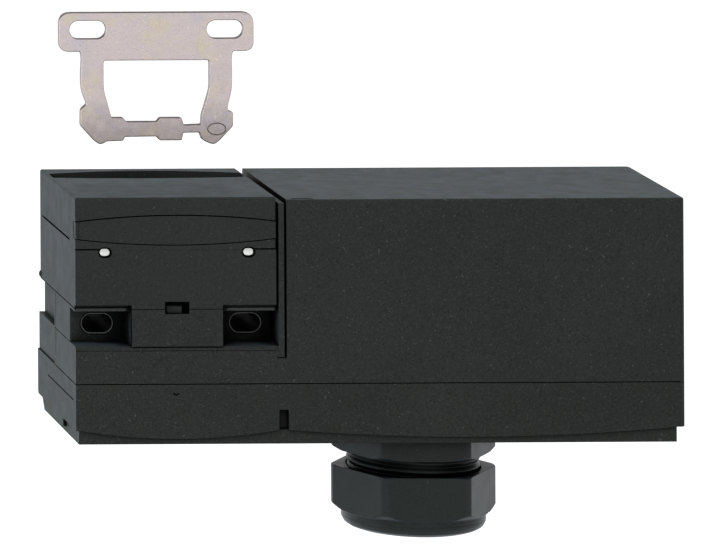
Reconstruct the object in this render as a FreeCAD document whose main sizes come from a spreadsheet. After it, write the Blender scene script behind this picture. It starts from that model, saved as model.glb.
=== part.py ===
import FreeCAD, Part
import math
import operator
import os
from types import SimpleNamespace

import Sketcher
from FreeCAD import Rotation, Vector

# Tongue interlock switch: a guard-door switch whose steel tongue turns a cam wheel in the head, and
# whose solenoid pushes a bolt into the wheel to lock it.
#
# Frame: +X to the right along the housing, +Y into the mounting wall, +Z up.
# Origin: midway between the two fixing slots, on the rear mounting face (Y = 0).
# Depths are measured back from the front face, rises up and drops down from the fixing slots' centres.

SIZES = [
    # Housing, neck and cover
    ("body_width", 90.0, "whole switch, left to right"),
    ("body_depth", 30.0, "front face to mounting face"),
    ("head_width", 30.0, "left side to the fin beside the head"),
    ("block_rise", 18.9, "fixing slots up to the top of the tall block"),
    ("neck_rise", 2.8, "fixing slots up to the seat of the head"),
    ("neck_drop", 2.7, "fixing slots down to the top of the band"),
    ("seam_drop", 8.25, "fixing slots down to the cover's seam"),
    ("cover_drop", 17.2, "fixing slots down to the underside"),
    ("wall", 1.6, "moulded wall"),
    ("edge_radius", 0.35, "rounding of moulded edges"),
    ("corner_radius", 0.8, "rounding of the housing's upright corners"),
    ("fin_thickness", 0.82, "fin between head and block"),
    ("fin_rise", 18.4, "fixing slots up to the top of the fin"),
    ("fin_depth", 24.0, "front face back to the end of the fin"),
    ("slit_width", 0.35, "air gap on each side of the fin"),
    ("well_margin", 1.0, "slot's recess to the slit"),
    ("slit_drop", 4.3, "fixing slots down to the foot of the slit"),
    ("slit_depth", 6.0, "depth of the slit below the head's seat"),
    ("band_bevel", 0.6, "bevel along the top front edge of the band"),
    ("step_depth", 16.5, "front face back to the step in the left side"),
    ("step_inset", 1.1, "how far the neck's left side steps in"),
    ("band_inset", 0.25, "how far the band's left side steps in below it"),
    ("tab_depth", 10.0, "front face back to the cover's side tab"),
    ("tab_length", 12.5, "length of the side tab"),
    ("tab_drop", 16.3, "fixing slots down to the foot of the side tab"),
    ("skirt_drop", 15.1, "fixing slots down to the ends of the cover's wavy edge"),
    ("skirt_sag", 1.25, "sag of each wave below its ends"),
    ("lip_inset", 0.5, "how far the cover's lip stands in at the front and left"),
    ("lip_inset_right", 1.2, "how far the lip stands in at the right"),
    ("lip_chamfer", 2.5, "chamfer at the lip's lower rear edge"),
    ("cover_floor", 1.8, "floor of the cover"),
    ("pry_width", 1.4, "notch for prying the cover off"),
    ("pry_height", 3.0, "height of that notch"),
    ("pry_depth", 0.9, "depth of that notch"),
    ("side_line_drop", 10.95, "fixing slots down to the moulded line on the cover's side"),
    ("line_start", 2.0, "front face to the cover's side line"),
    ("line_width", 0.2, "moulded lines and seam grooves"),
    ("line_depth", 0.25, "depth of those lines"),
    # Fixing slots and their recesses
    ("fixing_pitch", 22.0, "between the fixing slots' centres"),
    ("fixing_length", 4.6, "fixing slot, end to end"),
    ("fixing_width", 2.9, "fixing slot, across"),
    ("fixing_chamfer", 0.25, "lead-in of the fixing slots"),
    ("recess_depth", 4.4, "depth of the recesses for the screw heads"),
    ("web_width", 13.5, "plain front between the two recesses"),
    ("ledge_height", 0.4, "ledge under the head at the top of each recess"),
    ("ledge_depth", 0.8, "how far the ledge stands back"),
    ("spigot_radius", 4.0, "spigot of the neck in the housing"),
    # Head
    ("head_rise", 19.3, "fixing slots up to the top of the head"),
    ("head_depth", 27.5, "front face to the head's back"),
    ("cap_rise", 12.4, "fixing slots up to the seam of the cap"),
    ("cap_front_rise", 11.56, "the same seam along the front wall"),
    ("cap_step", 4.5, "depth of the lower front part of the cap"),
    ("head_wall", 1.6, "side walls of the head"),
    ("head_roof", 1.4, "top wall of the head"),
    ("head_floor", 1.0, "bottom wall of the head"),
    ("entry_rise", 14.48, "fixing slots up to the middle of the front entry"),
    ("entry_height", 2.56, "front entry at its ends"),
    ("entry_bulge", 0.92, "how much each long side of the front entry bulges"),
    ("plug_flange", 1.2, "rear flange of the plug, beyond the wall"),
    ("mouth_front", 19.0, "front face back to the near side of the top mouth, at its ends"),
    ("mouth_back", 22.7, "front face back to the far side of the top mouth, at its ends"),
    ("mouth_front_bulge", 0.9, "bulge of the mouth's near side"),
    ("mouth_back_bulge", 2.5, "bulge of the mouth's far side"),
    ("mouth_rim", 0.4, "wall left at the mouth's closed end"),
    ("mouth_recess", 3.4, "how deep the mouth cuts into the side walls"),
    ("pin_pitch", 21.2, "between the two cap pins"),
    ("pin_rise", 11.2, "fixing slots up to the cap pins"),
    ("pin_width", 1.6, "flat pin, across"),
    ("pin_height", 1.2, "flat pin, upright"),
    ("pin_length", 7.6, "length of the cap pins"),
    ("pin_recess", 0.2, "how far the pins lie behind the face"),
    ("pin_rim", 0.2, "open rim round each pin at the face"),
    ("pin_rim_depth", 0.5, "depth of that rim"),
    ("pin_boss_height", 3.0, "height of the bosses that hold the pins"),
    ("pin_boss_width", 4.6, "width of those bosses"),
    ("window_width", 3.6, "window of the head's catch"),
    ("window_height", 1.8, "height of that window"),
    ("window_depth", 2.4, "depth of that window"),
    ("window_rise", 3.0, "fixing slots up to the middle of the window"),
    ("catch_width", 2.2, "catch in the window"),
    ("catch_height", 1.0, "height of the catch"),
    ("catch_back", 0.5, "how far the catch lies behind the face"),
    # Tongue
    ("tongue_x", 0.9, "middle of the tongue, along X"),
    ("tongue_depth", 20.5, "front face back to the middle of the tongue"),
    ("tongue_lift", 4.9, "feet of the withdrawn tongue above the head"),
    ("tongue_thickness", 1.2, "sheet of the tongue"),
    ("tongue_height", 19.9, "whole tongue"),
    ("plate_width", 29.6, "mounting plate"),
    ("plate_height", 5.9, "height of the mounting plate"),
    ("plate_radius", 1.8, "its corners"),
    ("tongue_pitch", 20.65, "between the slots of the plate"),
    ("tongue_slot_length", 5.5, "slot of the plate, end to end"),
    ("tongue_slot_width", 2.7, "slot of the plate, across"),
    ("tongue_slot_rise", 17.3, "feet up to the slots' centres"),
    ("leg_outer", 11.35, "middle to the outside of a leg"),
    ("leg_inner", 8.0, "middle to the inside of a leg"),
    ("window_top", 12.65, "feet up to the top of the tongue's window"),
    ("leg_bend", 8.3, "feet up to where the legs draw in"),
    ("foot_inner", 6.7, "middle to the inside of a foot"),
    ("foot_neck", 10.6, "middle to the waist above a foot"),
    ("foot_waist", 5.9, "feet up to the waist"),
    ("foot_shoulder", 4.9, "feet up to the foot's shoulder"),
    ("foot_corner", 2.8, "feet up to the start of the foot's slope"),
    ("foot_toe", 9.2, "middle to the outer end of the sole"),
    ("foot_heel", 7.7, "middle to the inner end of the sole"),
    ("bar_rise", 2.31, "feet up to the middle of the crossbar"),
    ("bar_root", 1.7, "full-height stretch of the crossbar at the left foot"),
    ("bar_notch", 4.7, "stretch of middle height beside it"),
    ("bar_stub", 2.8, "thin stretch at the right foot"),
    ("bar_full", 3.5, "crossbar, full height"),
    ("bar_mid", 2.24, "crossbar, middle height"),
    ("bar_thin", 1.14, "crossbar, least height"),
    ("stake_length", 2.7, "oval mark on the right foot"),
    ("stake_width", 1.75, "its height"),
    ("stake_x", 9.0, "middle to the mark"),
    ("stake_line", 0.18, "width and depth of the mark's groove"),
    # Cam wheel, shaft and plunger
    ("wheel_rise", 10.8, "fixing slots up to the wheel's axis"),
    ("pitch_radius", 6.2, "axis to the middle of the tongue"),
    ("wheel_radius", 6.8, "outside of the toothed discs"),
    ("wheel_width", 12.4, "over both discs"),
    ("notch_width", 4.3, "notch for the crossbar"),
    ("notch_floor", 5.3, "axis to the floor of the notch"),
    ("lobe_width", 4.4, "spiral lobe between the discs"),
    ("lobe_large", 5.0, "lobe's radius with the tongue out"),
    ("lobe_lift", 2.2, "plunger's stroke"),
    ("lobe_gap", 0.25, "running gap of plunger and lobe"),
    ("hub_radius", 2.3, "hub of the wheel"),
    ("sector_thickness", 2.5, "locking sector"),
    ("sector_radius", 5.0, "outside of the locking sector"),
    ("shaft_radius", 1.25, "wheel's shaft"),
    ("running_gap", 0.05, "radial clearance of shafts and rods"),
    ("bearing_thickness", 2.3, "ribs that carry the shaft"),
    ("bearing_length", 5.0, "length of those ribs, front to back"),
    ("side_gap", 0.6, "wheel to its left rib"),
    ("plunger_radius", 1.5, "plunger rod"),
    ("tongue_travel", 18.5, "tongue's full stroke"),
    # Contacts
    ("block_width", 22.0, "contact block, left to right"),
    ("block_length", 20.0, "contact block, front to back"),
    ("block_drop", 13.8, "fixing slots down to its underside"),
    ("block_floor", 1.2, "its floor"),
    ("block_side", 1.4, "its front and rear walls"),
    ("block_end", 4.0, "its thick ends, which carry the contacts"),
    ("pole_pitch", 11.0, "between the two bridges"),
    ("strip_width", 3.2, "fixed contact strip"),
    ("strip_thickness", 0.6, "contact strips and bridges"),
    ("strip_drop", 6.0, "fixing slots down to the strips' underside"),
    ("strip_reach", 3.0, "strip beyond the block's end"),
    ("bridge_width", 3.0, "moving bridge, front to back"),
    ("bridge_length", 12.0, "moving bridge, left to right"),
    ("contact_gap", 2.35, "open gap between bridge and strip"),
    ("crosshead_width", 3.0, "crosshead of the plunger, left to right"),
    ("crosshead_height", 2.2, "its height"),
    ("crosshead_cover", 0.65, "crosshead below the bridges"),
    ("spring_wire", 0.2, "wire radius of the plunger's spring"),
    ("spring_radius", 1.5, "coil radius of the plunger's spring"),
    ("contact_screw_radius", 0.8, "shank of the contact screws"),
    ("contact_screw_head", 1.6, "radius of their heads"),
    ("contact_head_height", 1.1, "height of their heads"),
    # Solenoid
    ("coil_start", 20.0, "origin to the yoke's left plate"),
    ("coil_length", 42.0, "yoke, left to right"),
    ("yoke_plate", 1.5, "steel plate of the yoke"),
    ("yoke_width", 16.0, "yoke, front to back"),
    ("yoke_drop", 2.2, "fixing slots down to the yoke's feet"),
    ("bolt_radius", 1.2, "locking bolt"),
    ("bolt_offset", 3.8, "wheel's axis down to the bolt"),
    ("bolt_gap", 0.6, "withdrawn bolt to the sector"),
    ("bolt_travel", 2.8, "bolt's stroke"),
    ("core_radius", 4.0, "pole piece and armature"),
    ("core_gap", 0.2, "armature to pole piece when locked"),
    ("pole_length", 11.4, "pole piece inside the coil"),
    ("rivet_radius", 2.45, "pole piece's rivet in the yoke"),
    ("spring_pocket", 4.0, "pockets for the armature's spring"),
    ("pocket_radius", 2.7, "radius of those pockets"),
    ("return_wire", 0.22, "wire radius of the armature's spring"),
    ("return_radius", 2.0, "coil radius of the armature's spring"),
    ("bobbin_wall", 0.9, "bobbin's tube and flanges"),
    ("bobbin_flange", 8.6, "bobbin's flange radius"),
    ("winding_radius", 8.2, "outside of the winding"),
    ("terminal_height", 4.6, "coil's terminal block"),
    ("terminal_end", 1.2, "screw's end below the block's top"),
    ("terminal_roof", 1.0, "block's top above the screw holes"),
    ("terminal_length", 13.0, "its size, front to back"),
    ("terminal_pitch", 7.0, "between its screws"),
    ("terminal_screw_head", 1.9, "head radius of its screws"),
    # Cover screws, gasket and gland
    ("screw_radius", 0.95, "shank of the cover screws"),
    ("screw_head", 1.9, "head radius"),
    ("screw_head_height", 1.2, "head height"),
    ("screw_length", 12.0, "cover screw, overall"),
    ("pillar_radius", 2.2, "pillars round the cover screws"),
    ("screw_margin", 6.0, "front or rear face to the cover screws"),
    ("gasket_width", 0.7, "gasket in the cover's rim"),
    ("gasket_inset", 0.45, "outer face to the gasket"),
    ("gland_x", 38.3, "origin to the gland's axis"),
    ("gland_turn", -4.8, "how far the hexagons are turned, in degrees"),
    ("gland_thread", 9.55, "radius of the gland's threads"),
    ("gland_hex", 22.6, "gland's hexagons, across flats"),
    ("gland_round", 12.6, "radius that the hexagons' corners are turned to"),
    ("gland_inside", 5.2, "gland's thread above the cover's underside"),
    ("gland_gasket", 0.4, "flat gasket between gland and cover"),
    ("gland_flange", 2.8, "height of the gland body's hexagon"),
    ("gland_neck", 6.0, "thread below the hexagon"),
    ("gland_bore", 5.6, "radius of the way through the gland"),
    ("nut_drop", 6.0, "underside down to the gland nut's top"),
    ("nut_hex_height", 6.0, "hexagon of the nut"),
    ("nut_collar", 2.6, "round collar of the nut"),
    ("collar_radius", 10.4, "its radius"),
    ("nut_wall", 3.4, "bottom of the nut"),
    ("collar_lap", 1.0, "how far the collar reaches into the hexagon"),
    ("seal_radius", 7.5, "rubber bush"),
    ("seal_bore", 4.5, "hole for the cable"),
    ("seal_length", 5.2, "length of the bush"),
    ("ring_length", 1.5, "clamp ring below the bush"),
    ("locknut_height", 2.4, "nut inside the cover"),
]


class Size:
    """A length that keeps both its expression, which binds to the sheet, and its present value."""

    def __init__(self, text, value):
        self.text = text
        self.value = value

    def joined(self, other, sign, operation):
        other = as_size(other)
        return Size(f"({self.text} {sign} {other.text})", operation(self.value, other.value))

    def __add__(self, other):
        return self.joined(other, "+", operator.add)

    def __sub__(self, other):
        return self.joined(other, "-", operator.sub)

    def __mul__(self, other):
        return self.joined(other, "*", operator.mul)

    def __truediv__(self, other):
        return self.joined(other, "/", operator.truediv)

    def __radd__(self, other):
        return as_size(other) + self

    def __rsub__(self, other):
        return as_size(other) - self

    def __rmul__(self, other):
        return as_size(other) * self

    def __neg__(self):
        return as_size(0) - self


def as_size(number):
    """The number as a Size, so that plain factors mix with the sheet's sizes."""
    if isinstance(number, Size):
        return number
    return Size(f"({number})", number)


def root(size):
    """Square root of a size."""
    return Size(f"sqrt{size.text}", math.sqrt(size.value))


doc = FreeCAD.newDocument("tongue_interlock_switch")
sheet = doc.addObject("Spreadsheet::Sheet", "Sizes")
for row, (alias, length, meaning) in enumerate(SIZES, start=1):
    sheet.set(f"A{row}", meaning)
    sheet.set(f"B{row}", str(length))
    sheet.setAlias(f"B{row}", alias)
doc.recompute()
S = SimpleNamespace(**{alias: Size(f"Sizes.{alias}", float(sheet.get(alias))) for alias, _, _ in SIZES})
nodes = {}


# ---------------------------------------------------------------- helpers

NORMALS = {"XY": 1, "XZ": -1, "YZ": 1}  # which way each origin plane faces along its own axis


def bind(item, sizes):
    """Binds properties of an object to the sheet."""
    for name, size in sizes.items():
        item.setExpression(name, as_size(size).text)


def place(item, x=0, y=0, z=0):
    """Moves an object to a place that follows the sheet."""
    bind(item, {"Placement.Base.x": x, "Placement.Base.y": y, "Placement.Base.z": z})


def keep(label, item):
    """Names a finished sub-part and puts it on the list of nodes."""
    item.Label = label
    nodes[label] = item
    return item


def new_body(name):
    """An empty PartDesign body."""
    return doc.addObject("PartDesign::Body", name)


def new_sketch(body, plane, level):
    """A sketch on one of the body's origin planes, moved to a level along that plane's axis."""
    sketch = body.newObject("Sketcher::SketchObject", "Outline")
    role = f"{plane}_Plane"
    support = next(item for item in body.Origin.OriginFeatures if item.Role == role)
    sketch.AttachmentSupport = (support, [""])
    sketch.MapMode = "FlatFace"
    bind(sketch, {"AttachmentOffset.Base.z": NORMALS[plane] * as_size(level)})
    return sketch


def constrain(sketch, kind, size, *target):
    """Adds a dimension to the sketch and binds it to the sheet."""
    size = as_size(size)
    index = sketch.addConstraint(Sketcher.Constraint(kind, *target, float(size.value)))
    sketch.renameConstraint(index, f"{kind}_{index}")
    sketch.setExpression(f"Constraints.{kind}_{index}", size.text)


def draw_loop(sketch, corners):
    """Draws a closed loop and holds each corner by its two distances from the origin.

    A corner is (across, up), or (across, up, rise) where an arc leads to the next corner. Going round
    anticlockwise, a positive rise bulges outwards and a negative one inwards.
    """
    points = [Vector(as_size(corner[0]).value, as_size(corner[1]).value, 0) for corner in corners]
    edges = []
    for start, finish, corner in zip(points, points[1:] + points[:1], corners):
        rise = as_size(corner[2]).value if len(corner) == 3 else 0
        if rise:
            run = finish - start
            middle = (start + finish) * 0.5 + Vector(run.y, -run.x, 0).normalize() * rise
            curve = Part.Arc(start, middle, finish)
        else:
            curve = Part.LineSegment(start, finish)
        # An arc always runs anticlockwise, so one that bulges inwards has its ends the other way round.
        edges.append((sketch.addGeometry(curve, False), (2, 1) if rise < 0 else (1, 2)))
    for (edge, ends), (following, next_ends) in zip(edges, edges[1:] + edges[:1]):
        sketch.addConstraint(Sketcher.Constraint("Coincident", edge, ends[1], following, next_ends[0]))
    for index, (edge, ends) in enumerate(edges):
        corner = corners[index]
        constrain(sketch, "DistanceX", corner[0], -1, 1, edge, ends[0])
        constrain(sketch, "DistanceY", corner[1], -1, 1, edge, ends[0])
        if len(corner) == 3:
            hold_arc(sketch, edge, corner, corners[(index + 1) % len(corners)])


def hold_arc(sketch, edge, corner, following):
    """Fixes an arc whose ends are held, by one coordinate of its centre."""
    across = as_size(following[0]) - corner[0]
    up = as_size(following[1]) - corner[1]
    chord = root(across * across + up * up)
    offset = corner[2] / 2 / chord - chord / corner[2] / 8
    if abs(up.value) > abs(across.value):
        constrain(sketch, "DistanceX", corner[0] + across / 2 + up * offset, -1, 1, edge, 3)
    else:
        constrain(sketch, "DistanceY", corner[1] + up / 2 - across * offset, -1, 1, edge, 3)


def draw_circle(sketch, across, up, radius):
    """Draws a circle held by its centre and radius."""
    centre = Vector(as_size(across).value, as_size(up).value, 0)
    edge = sketch.addGeometry(Part.Circle(centre, Vector(0, 0, 1), as_size(radius).value), False)
    constrain(sketch, "DistanceX", across, -1, 1, edge, 3)
    constrain(sketch, "DistanceY", up, -1, 1, edge, 3)
    constrain(sketch, "Radius", radius, edge)


def rectangle(across, up):
    """Corners of a rectangle given by two (low, high) pairs."""
    return [(across[0], up[0]), (across[1], up[0]), (across[1], up[1]), (across[0], up[1])]


def slot(across, up, length, width):
    """Corners of a level slot with round ends."""
    half = (length - width) / 2
    end = width / 2
    return [
        (across - half, up - end),
        (across + half, up - end, end),
        (across + half, up + end),
        (across - half, up + end, end),
    ]


def circle(across, up, radius):
    """A round hole or disc in a list of loops."""
    return (across, up, radius)


def draw(sketch, loops):
    """Draws each loop: a list of corners, or one (across, up, radius) for a circle."""
    for loop in loops:
        if isinstance(loop, tuple):
            draw_circle(sketch, *loop)
        else:
            draw_loop(sketch, loop)


def settle(sketch, feature):
    """Recomputes the document and stops at once if the new feature failed."""
    if sketch is not None:
        sketch.Visibility = False
    doc.recompute()
    if {"Invalid", "Error"} & set(feature.State) or feature.Shape.isNull():
        raise RuntimeError(f"{feature.Name} of {feature.getParentGeoFeatureGroup().Name} failed")
    return feature


def pad(body, plane, span, *loops):
    """Adds the loops' area between the two levels of the span."""
    low, high = (as_size(level) for level in span)
    sketch = new_sketch(body, plane, low if NORMALS[plane] > 0 else high)
    draw(sketch, loops)
    feature = body.newObject("PartDesign::Pad", "Pad")
    feature.Profile = sketch
    bind(feature, {"Length": high - low})
    return settle(sketch, feature)


def pocket(body, plane, span, *loops):
    """Cuts the loops' area away between the two levels of the span."""
    low, high = (as_size(level) for level in span)
    before = body.Shape.Volume
    sketch = new_sketch(body, plane, high if NORMALS[plane] > 0 else low)
    draw(sketch, loops)
    feature = body.newObject("PartDesign::Pocket", "Pocket")
    feature.Profile = sketch
    bind(feature, {"Length": high - low})
    settle(sketch, feature)
    if not body.Shape.Volume < before - 1e-4:
        raise RuntimeError(f"a pocket of {body.Name} cuts nothing")
    return feature


def turned(name, axis, corners):
    """A body of revolution; its corners are (along, radius) for axis X or (radius, along) for axis Z."""
    body = new_body(name)
    sketch = new_sketch(body, "XZ", 0)
    draw(sketch, [corners])
    feature = body.newObject("PartDesign::Revolution", "Revolution")
    feature.Profile = sketch
    feature.ReferenceAxis = (sketch, ["H_Axis" if axis == "X" else "V_Axis"])
    feature.Angle = 360
    settle(sketch, feature)
    return body


def bar(span, radii):
    """Corners (along, radius) of a plain turned length from an inner to an outer radius."""
    return rectangle(span, radii)


def edges_where(body, test):
    """Names of the body's edges that pass the test, which gets an edge's centre and its direction.

    The direction of a closed edge is a null vector.
    """
    names = []
    for index, edge in enumerate(body.Shape.Edges, start=1):
        run = edge.Vertexes[-1].Point - edge.Vertexes[0].Point
        if run.Length > 1e-6:
            run.normalize()
        if test(edge.CenterOfMass, run):
            names.append(f"Edge{index}")
    return names


def dress(body, kind, size_name, size, test):
    """Rounds or chamfers the edges that pass the test."""
    base = body.Tip
    names = edges_where(body, test)
    if not names:
        raise RuntimeError(f"no edge of {body.Name} to dress")
    feature = body.newObject(f"PartDesign::{kind}", kind)
    feature.Base = (base, names)
    bind(feature, {size_name: size})
    return settle(None, feature)


def fillet(body, radius, test):
    """Rounds the edges that pass the test."""
    return dress(body, "Fillet", "Radius", radius, test)


def chamfer(body, size, test):
    """Bevels the edges that pass the test."""
    return dress(body, "Chamfer", "Size", size, test)


def near(number, size):
    """Whether a measured number is at a size, to the model's tolerance."""
    return abs(number - as_size(size).value) < 1e-3


def right_corner(centre, run):
    """Whether an edge is one of the two upright corners at the right end."""
    return abs(run.z) > 0.99 and near(centre.x, right) and (near(centre.y, front) or near(centre.y, 0))


def cylinder(name, radius, axis, span, first, second):
    """A Part cylinder along an axis; first and second place it on the other two axes, in order."""
    item = doc.addObject("Part::Cylinder", name)
    low, high = (as_size(level) for level in span)
    bind(item, {"Radius": radius, "Height": high - low})
    if axis == "X":
        item.Placement.Rotation = Rotation(Vector(0, 1, 0), 90)
        place(item, low, first, second)
    elif axis == "Y":
        item.Placement.Rotation = Rotation(Vector(1, 0, 0), -90)
        place(item, first, low, second)
    else:
        place(item, first, second, low)
    return item


def box(name, x, y, z):
    """A Part box given by three (low, high) pairs."""
    item = doc.addObject("Part::Box", name)
    spans = [tuple(as_size(level) for level in span) for span in (x, y, z)]
    lengths = [high - low for low, high in spans]
    bind(item, dict(zip(("Length", "Width", "Height"), lengths)))
    place(item, *(low for low, _ in spans))
    return item


def cut(name, base, *tools):
    """The base with the tools cut away, one after another."""
    for tool in tools:
        item = doc.addObject("Part::Cut", name)
        item.Base = base
        item.Tool = tool
        base = item
    return base


def fuse(name, *items):
    """The items joined into one solid."""
    item = doc.addObject("Part::MultiFuse", name)
    item.Shapes = list(items)
    return item


def group(label, items):
    """Separate solids of one kind that share a node."""
    item = doc.addObject("Part::Compound", label)
    item.Links = list(items)
    return keep(label, item)


def screw(name, x, y, head_low, length, shank, head, head_height):
    """A screw that points up: slotted head at the bottom, plain shank above."""
    head_high = head_low + head_height
    top = cylinder(f"{name}_head", head, "Z", (head_low, head_high), x, y)
    stem = cylinder(f"{name}_shank", shank, "Z", (head_high, head_low + length), x, y)
    drive_half = head / 5
    drive = box(
        f"{name}_drive",
        (x - head, x + head),
        (y - drive_half, y + drive_half),
        (head_low, head_low + head_height / 2),
    )
    return cut(name, fuse(f"{name}_blank", top, stem), drive)


# ---------------------------------------------------------------- shared places

left = -(S.head_width / 2)
right = left + S.body_width
front = -S.body_depth
fin_left = S.head_width / 2
fin_right = fin_left + S.fin_thickness
block_left = fin_right + S.slit_width
head_right = fin_left - S.slit_width
head_back = front + S.head_depth
seam = -S.seam_drop
underside = -S.cover_drop
band_top = -S.neck_drop
neck_top = S.neck_rise
cavity_top = S.block_rise - S.wall
web_half = S.web_width / 2
well_right = fin_left - S.slit_width - S.well_margin
block_inner = block_left + S.wall

tongue_y = front + S.tongue_depth
wheel_y = tongue_y - S.pitch_radius
wheel_z = S.wheel_rise
bolt_z = wheel_z - S.bolt_offset
wheel_left = S.tongue_x - S.wheel_width / 2
wheel_right = S.tongue_x + S.wheel_width / 2
sector_right = wheel_right + S.sector_thickness
bearing_left = wheel_left - S.side_gap
bolt_tip = sector_right + S.bolt_gap
bolt_hole = S.bolt_radius + S.running_gap
shaft_hole = S.shaft_radius + S.running_gap
plunger_hole = S.plunger_radius + S.running_gap
feet = S.head_rise + S.tongue_lift

inner_front = front + S.wall
inner_back = -S.wall
pin_half = S.pin_pitch / 2
screw_front = front + S.screw_margin
screw_back = -S.screw_margin
split = (well_right + block_inner) / 2
screw_places = [
    (x, y) for x in (split, right - S.wall - S.pillar_radius - 0.4)
    for y in (screw_front, screw_back)
]
sides = (-1, 1)


# ---------------------------------------------------------------- housing, neck and cover

def main_housing():
    """L-shaped moulding: tall block for the solenoid, low band under the head, open at the seam."""
    body = new_body("main_housing")
    pad(body, "XZ", (front, 0), [
        (left, seam), (right, seam), (right, S.block_rise), (block_left, S.block_rise),
        (block_left, neck_top), (fin_right, neck_top), (fin_right, S.fin_rise), (fin_left, S.fin_rise),
        (fin_left, band_top), (left, band_top),
    ])
    pocket(body, "XZ", (front, front + S.slit_depth),
           rectangle((fin_right, block_left), (-S.slit_drop, neck_top)))
    pocket(body, "XZ", (front + S.fin_depth, 0),
           rectangle((fin_left, fin_right), (neck_top, S.fin_rise)))
    fillet(body, S.corner_radius, right_corner)
    fillet(body, S.edge_radius, lambda centre, run: (
        near(centre.z, S.block_rise) and centre.x > block_left.value + 1))
    chamfer(body, S.band_bevel / 2, lambda centre, run: (
        near(centre.z, band_top) and near(centre.y, front)))
    depth = (inner_front, inner_back)
    pocket(body, "XZ", depth, rectangle((block_inner, right - S.wall), (seam, cavity_top)))
    pocket(body, "XZ", depth, rectangle((left + S.wall, well_right), (seam, band_top - S.wall)))
    pad(body, "XY", (seam, -S.yoke_drop), *[
        rectangle((right - S.wall - S.pillar_radius * 2, right - S.wall),
                  (y - S.pillar_radius, y + S.pillar_radius)) for y in (screw_front, screw_back)])
    pocket(body, "XY", (seam, underside + S.screw_length + 0.3), *[
        circle(x, y, S.screw_radius + S.running_gap) for x, y in screw_places])
    pocket(body, "XY", (band_top - S.wall, band_top),
           circle(S.tongue_x, wheel_y, S.spigot_radius + S.running_gap))
    pocket(body, "YZ", (fin_left, block_inner), circle(wheel_y, bolt_z, bolt_hole))
    step = front + S.step_depth
    pocket(body, "YZ", (left, left + S.band_inset), rectangle((step, 0), (seam, band_top)))
    pocket(body, "YZ", (left, left + S.band_inset + S.line_depth),
           rectangle((step, step + S.line_width), (seam, band_top)))
    return keep("main_housing", body)


def neck_block():
    """Block between band and head, with the fixing slots in recesses at both sides."""
    body = new_body("neck_block")
    pad(body, "XZ", (front, 0), rectangle((left, head_right), (band_top, neck_top)))
    recesses = ((left, -web_half), (web_half, head_right))
    ledge = neck_top - S.ledge_height
    pocket(body, "XZ", (front, front + S.recess_depth),
           *[rectangle(span, (band_top, ledge)) for span in recesses])
    pocket(body, "XZ", (front, front + S.ledge_depth),
           *[rectangle(span, (ledge, neck_top)) for span in recesses])
    pocket(body, "XZ", (front + S.recess_depth, 0),
           *[slot(side * S.fixing_pitch / 2, as_size(0), S.fixing_length, S.fixing_width) for side in sides])
    lead_in = S.fixing_chamfer * 2
    pocket(body, "XZ", (front + S.recess_depth, front + S.recess_depth + S.fixing_chamfer), *[
        slot(side * S.fixing_pitch / 2, as_size(0), S.fixing_length + lead_in, S.fixing_width + lead_in)
        for side in sides])
    pocket(body, "XY", (band_top, neck_top),
           rectangle((left, left + S.step_inset), (front + S.step_depth, 0)))
    half = S.window_width / 2
    pocket(body, "XZ", (front, front + S.window_depth),
           rectangle((-half, half), (S.window_rise - S.window_height / 2, neck_top)))
    pad(body, "XY", (band_top - S.wall, band_top), circle(S.tongue_x, wheel_y, S.spigot_radius))
    pocket(body, "XY", (band_top - S.wall, neck_top), circle(S.tongue_x, wheel_y, plunger_hole))
    return keep("neck_block", body)


def skirt_outline():
    """Front outline of the cover above its lip: a straight rim and two waves below."""
    foot = -S.skirt_drop
    foot_right = foot + S.line_width
    gap = S.pry_width / 2
    return [
        (left, foot), (left + S.lip_inset, foot, S.skirt_sag),
        (split - gap, foot), (split + gap, foot, S.skirt_sag),
        (right - S.lip_inset_right, foot_right), (right, foot_right), (right, seam), (left, seam),
    ]


def terminal_cover():
    """Tray that closes the housing from below and carries the cable gland."""
    body = new_body("terminal_cover")
    pad(body, "XZ", (front, 0), skirt_outline())
    lip = ((left + S.lip_inset, right - S.lip_inset_right), (front + S.lip_inset, -S.lip_inset))
    pad(body, "XY", (underside, seam - S.wall), rectangle(*lip))
    pocket(body, "YZ", (left, right), [
        (-S.lip_chamfer, underside), (as_size(0), underside), (as_size(0), underside + S.lip_chamfer)])
    pad(body, "XZ", (front + S.tab_depth, front + S.tab_depth + S.tab_length),
        rectangle((left, left + S.wall), (-S.tab_drop, seam - S.wall)))
    fillet(body, S.corner_radius, right_corner)
    inside = ((left + S.wall, right - S.wall), (inner_front, inner_back))
    pocket(body, "XY", (underside + S.cover_floor, seam), rectangle(*inside))
    pad(body, "XY", (underside + S.cover_floor / 2, seam), *[
        circle(x, y, S.pillar_radius) for x, y in screw_places])
    pocket(body, "XY", (underside, seam), *[
        circle(x, y, S.screw_radius + S.running_gap) for x, y in screw_places])
    pocket(body, "XY", (underside, underside + S.screw_head_height), *[
        circle(x, y, S.screw_head + S.running_gap) for x, y in screw_places])
    pocket(body, "XY", (underside, underside + S.cover_floor),
           circle(S.gland_x, front / 2, S.gland_thread + S.running_gap))
    rim = gasket_loops(S.gasket_inset, S.gasket_width)
    pocket(body, "XY", (seam - S.gasket_width, seam), *rim)
    pocket(body, "XZ", (front, front + S.pry_depth), rectangle(
        (split - S.pry_width / 2, split + S.pry_width / 2), (-S.skirt_drop, S.pry_height - S.skirt_drop)))
    pocket(body, "YZ", (left, left + S.line_depth), rectangle(
        (front + S.line_start, front + S.line_start + S.tab_depth * 2),
        (-S.side_line_drop, S.line_width - S.side_line_drop)))
    return keep("terminal_cover", body)


def gasket_loops(inset, width):
    """Outer and inner rectangle of the gasket, set in from the outer faces."""
    return [rectangle((left + edge, right - edge), (front + edge, -edge)) for edge in (inset, inset + width)]


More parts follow.
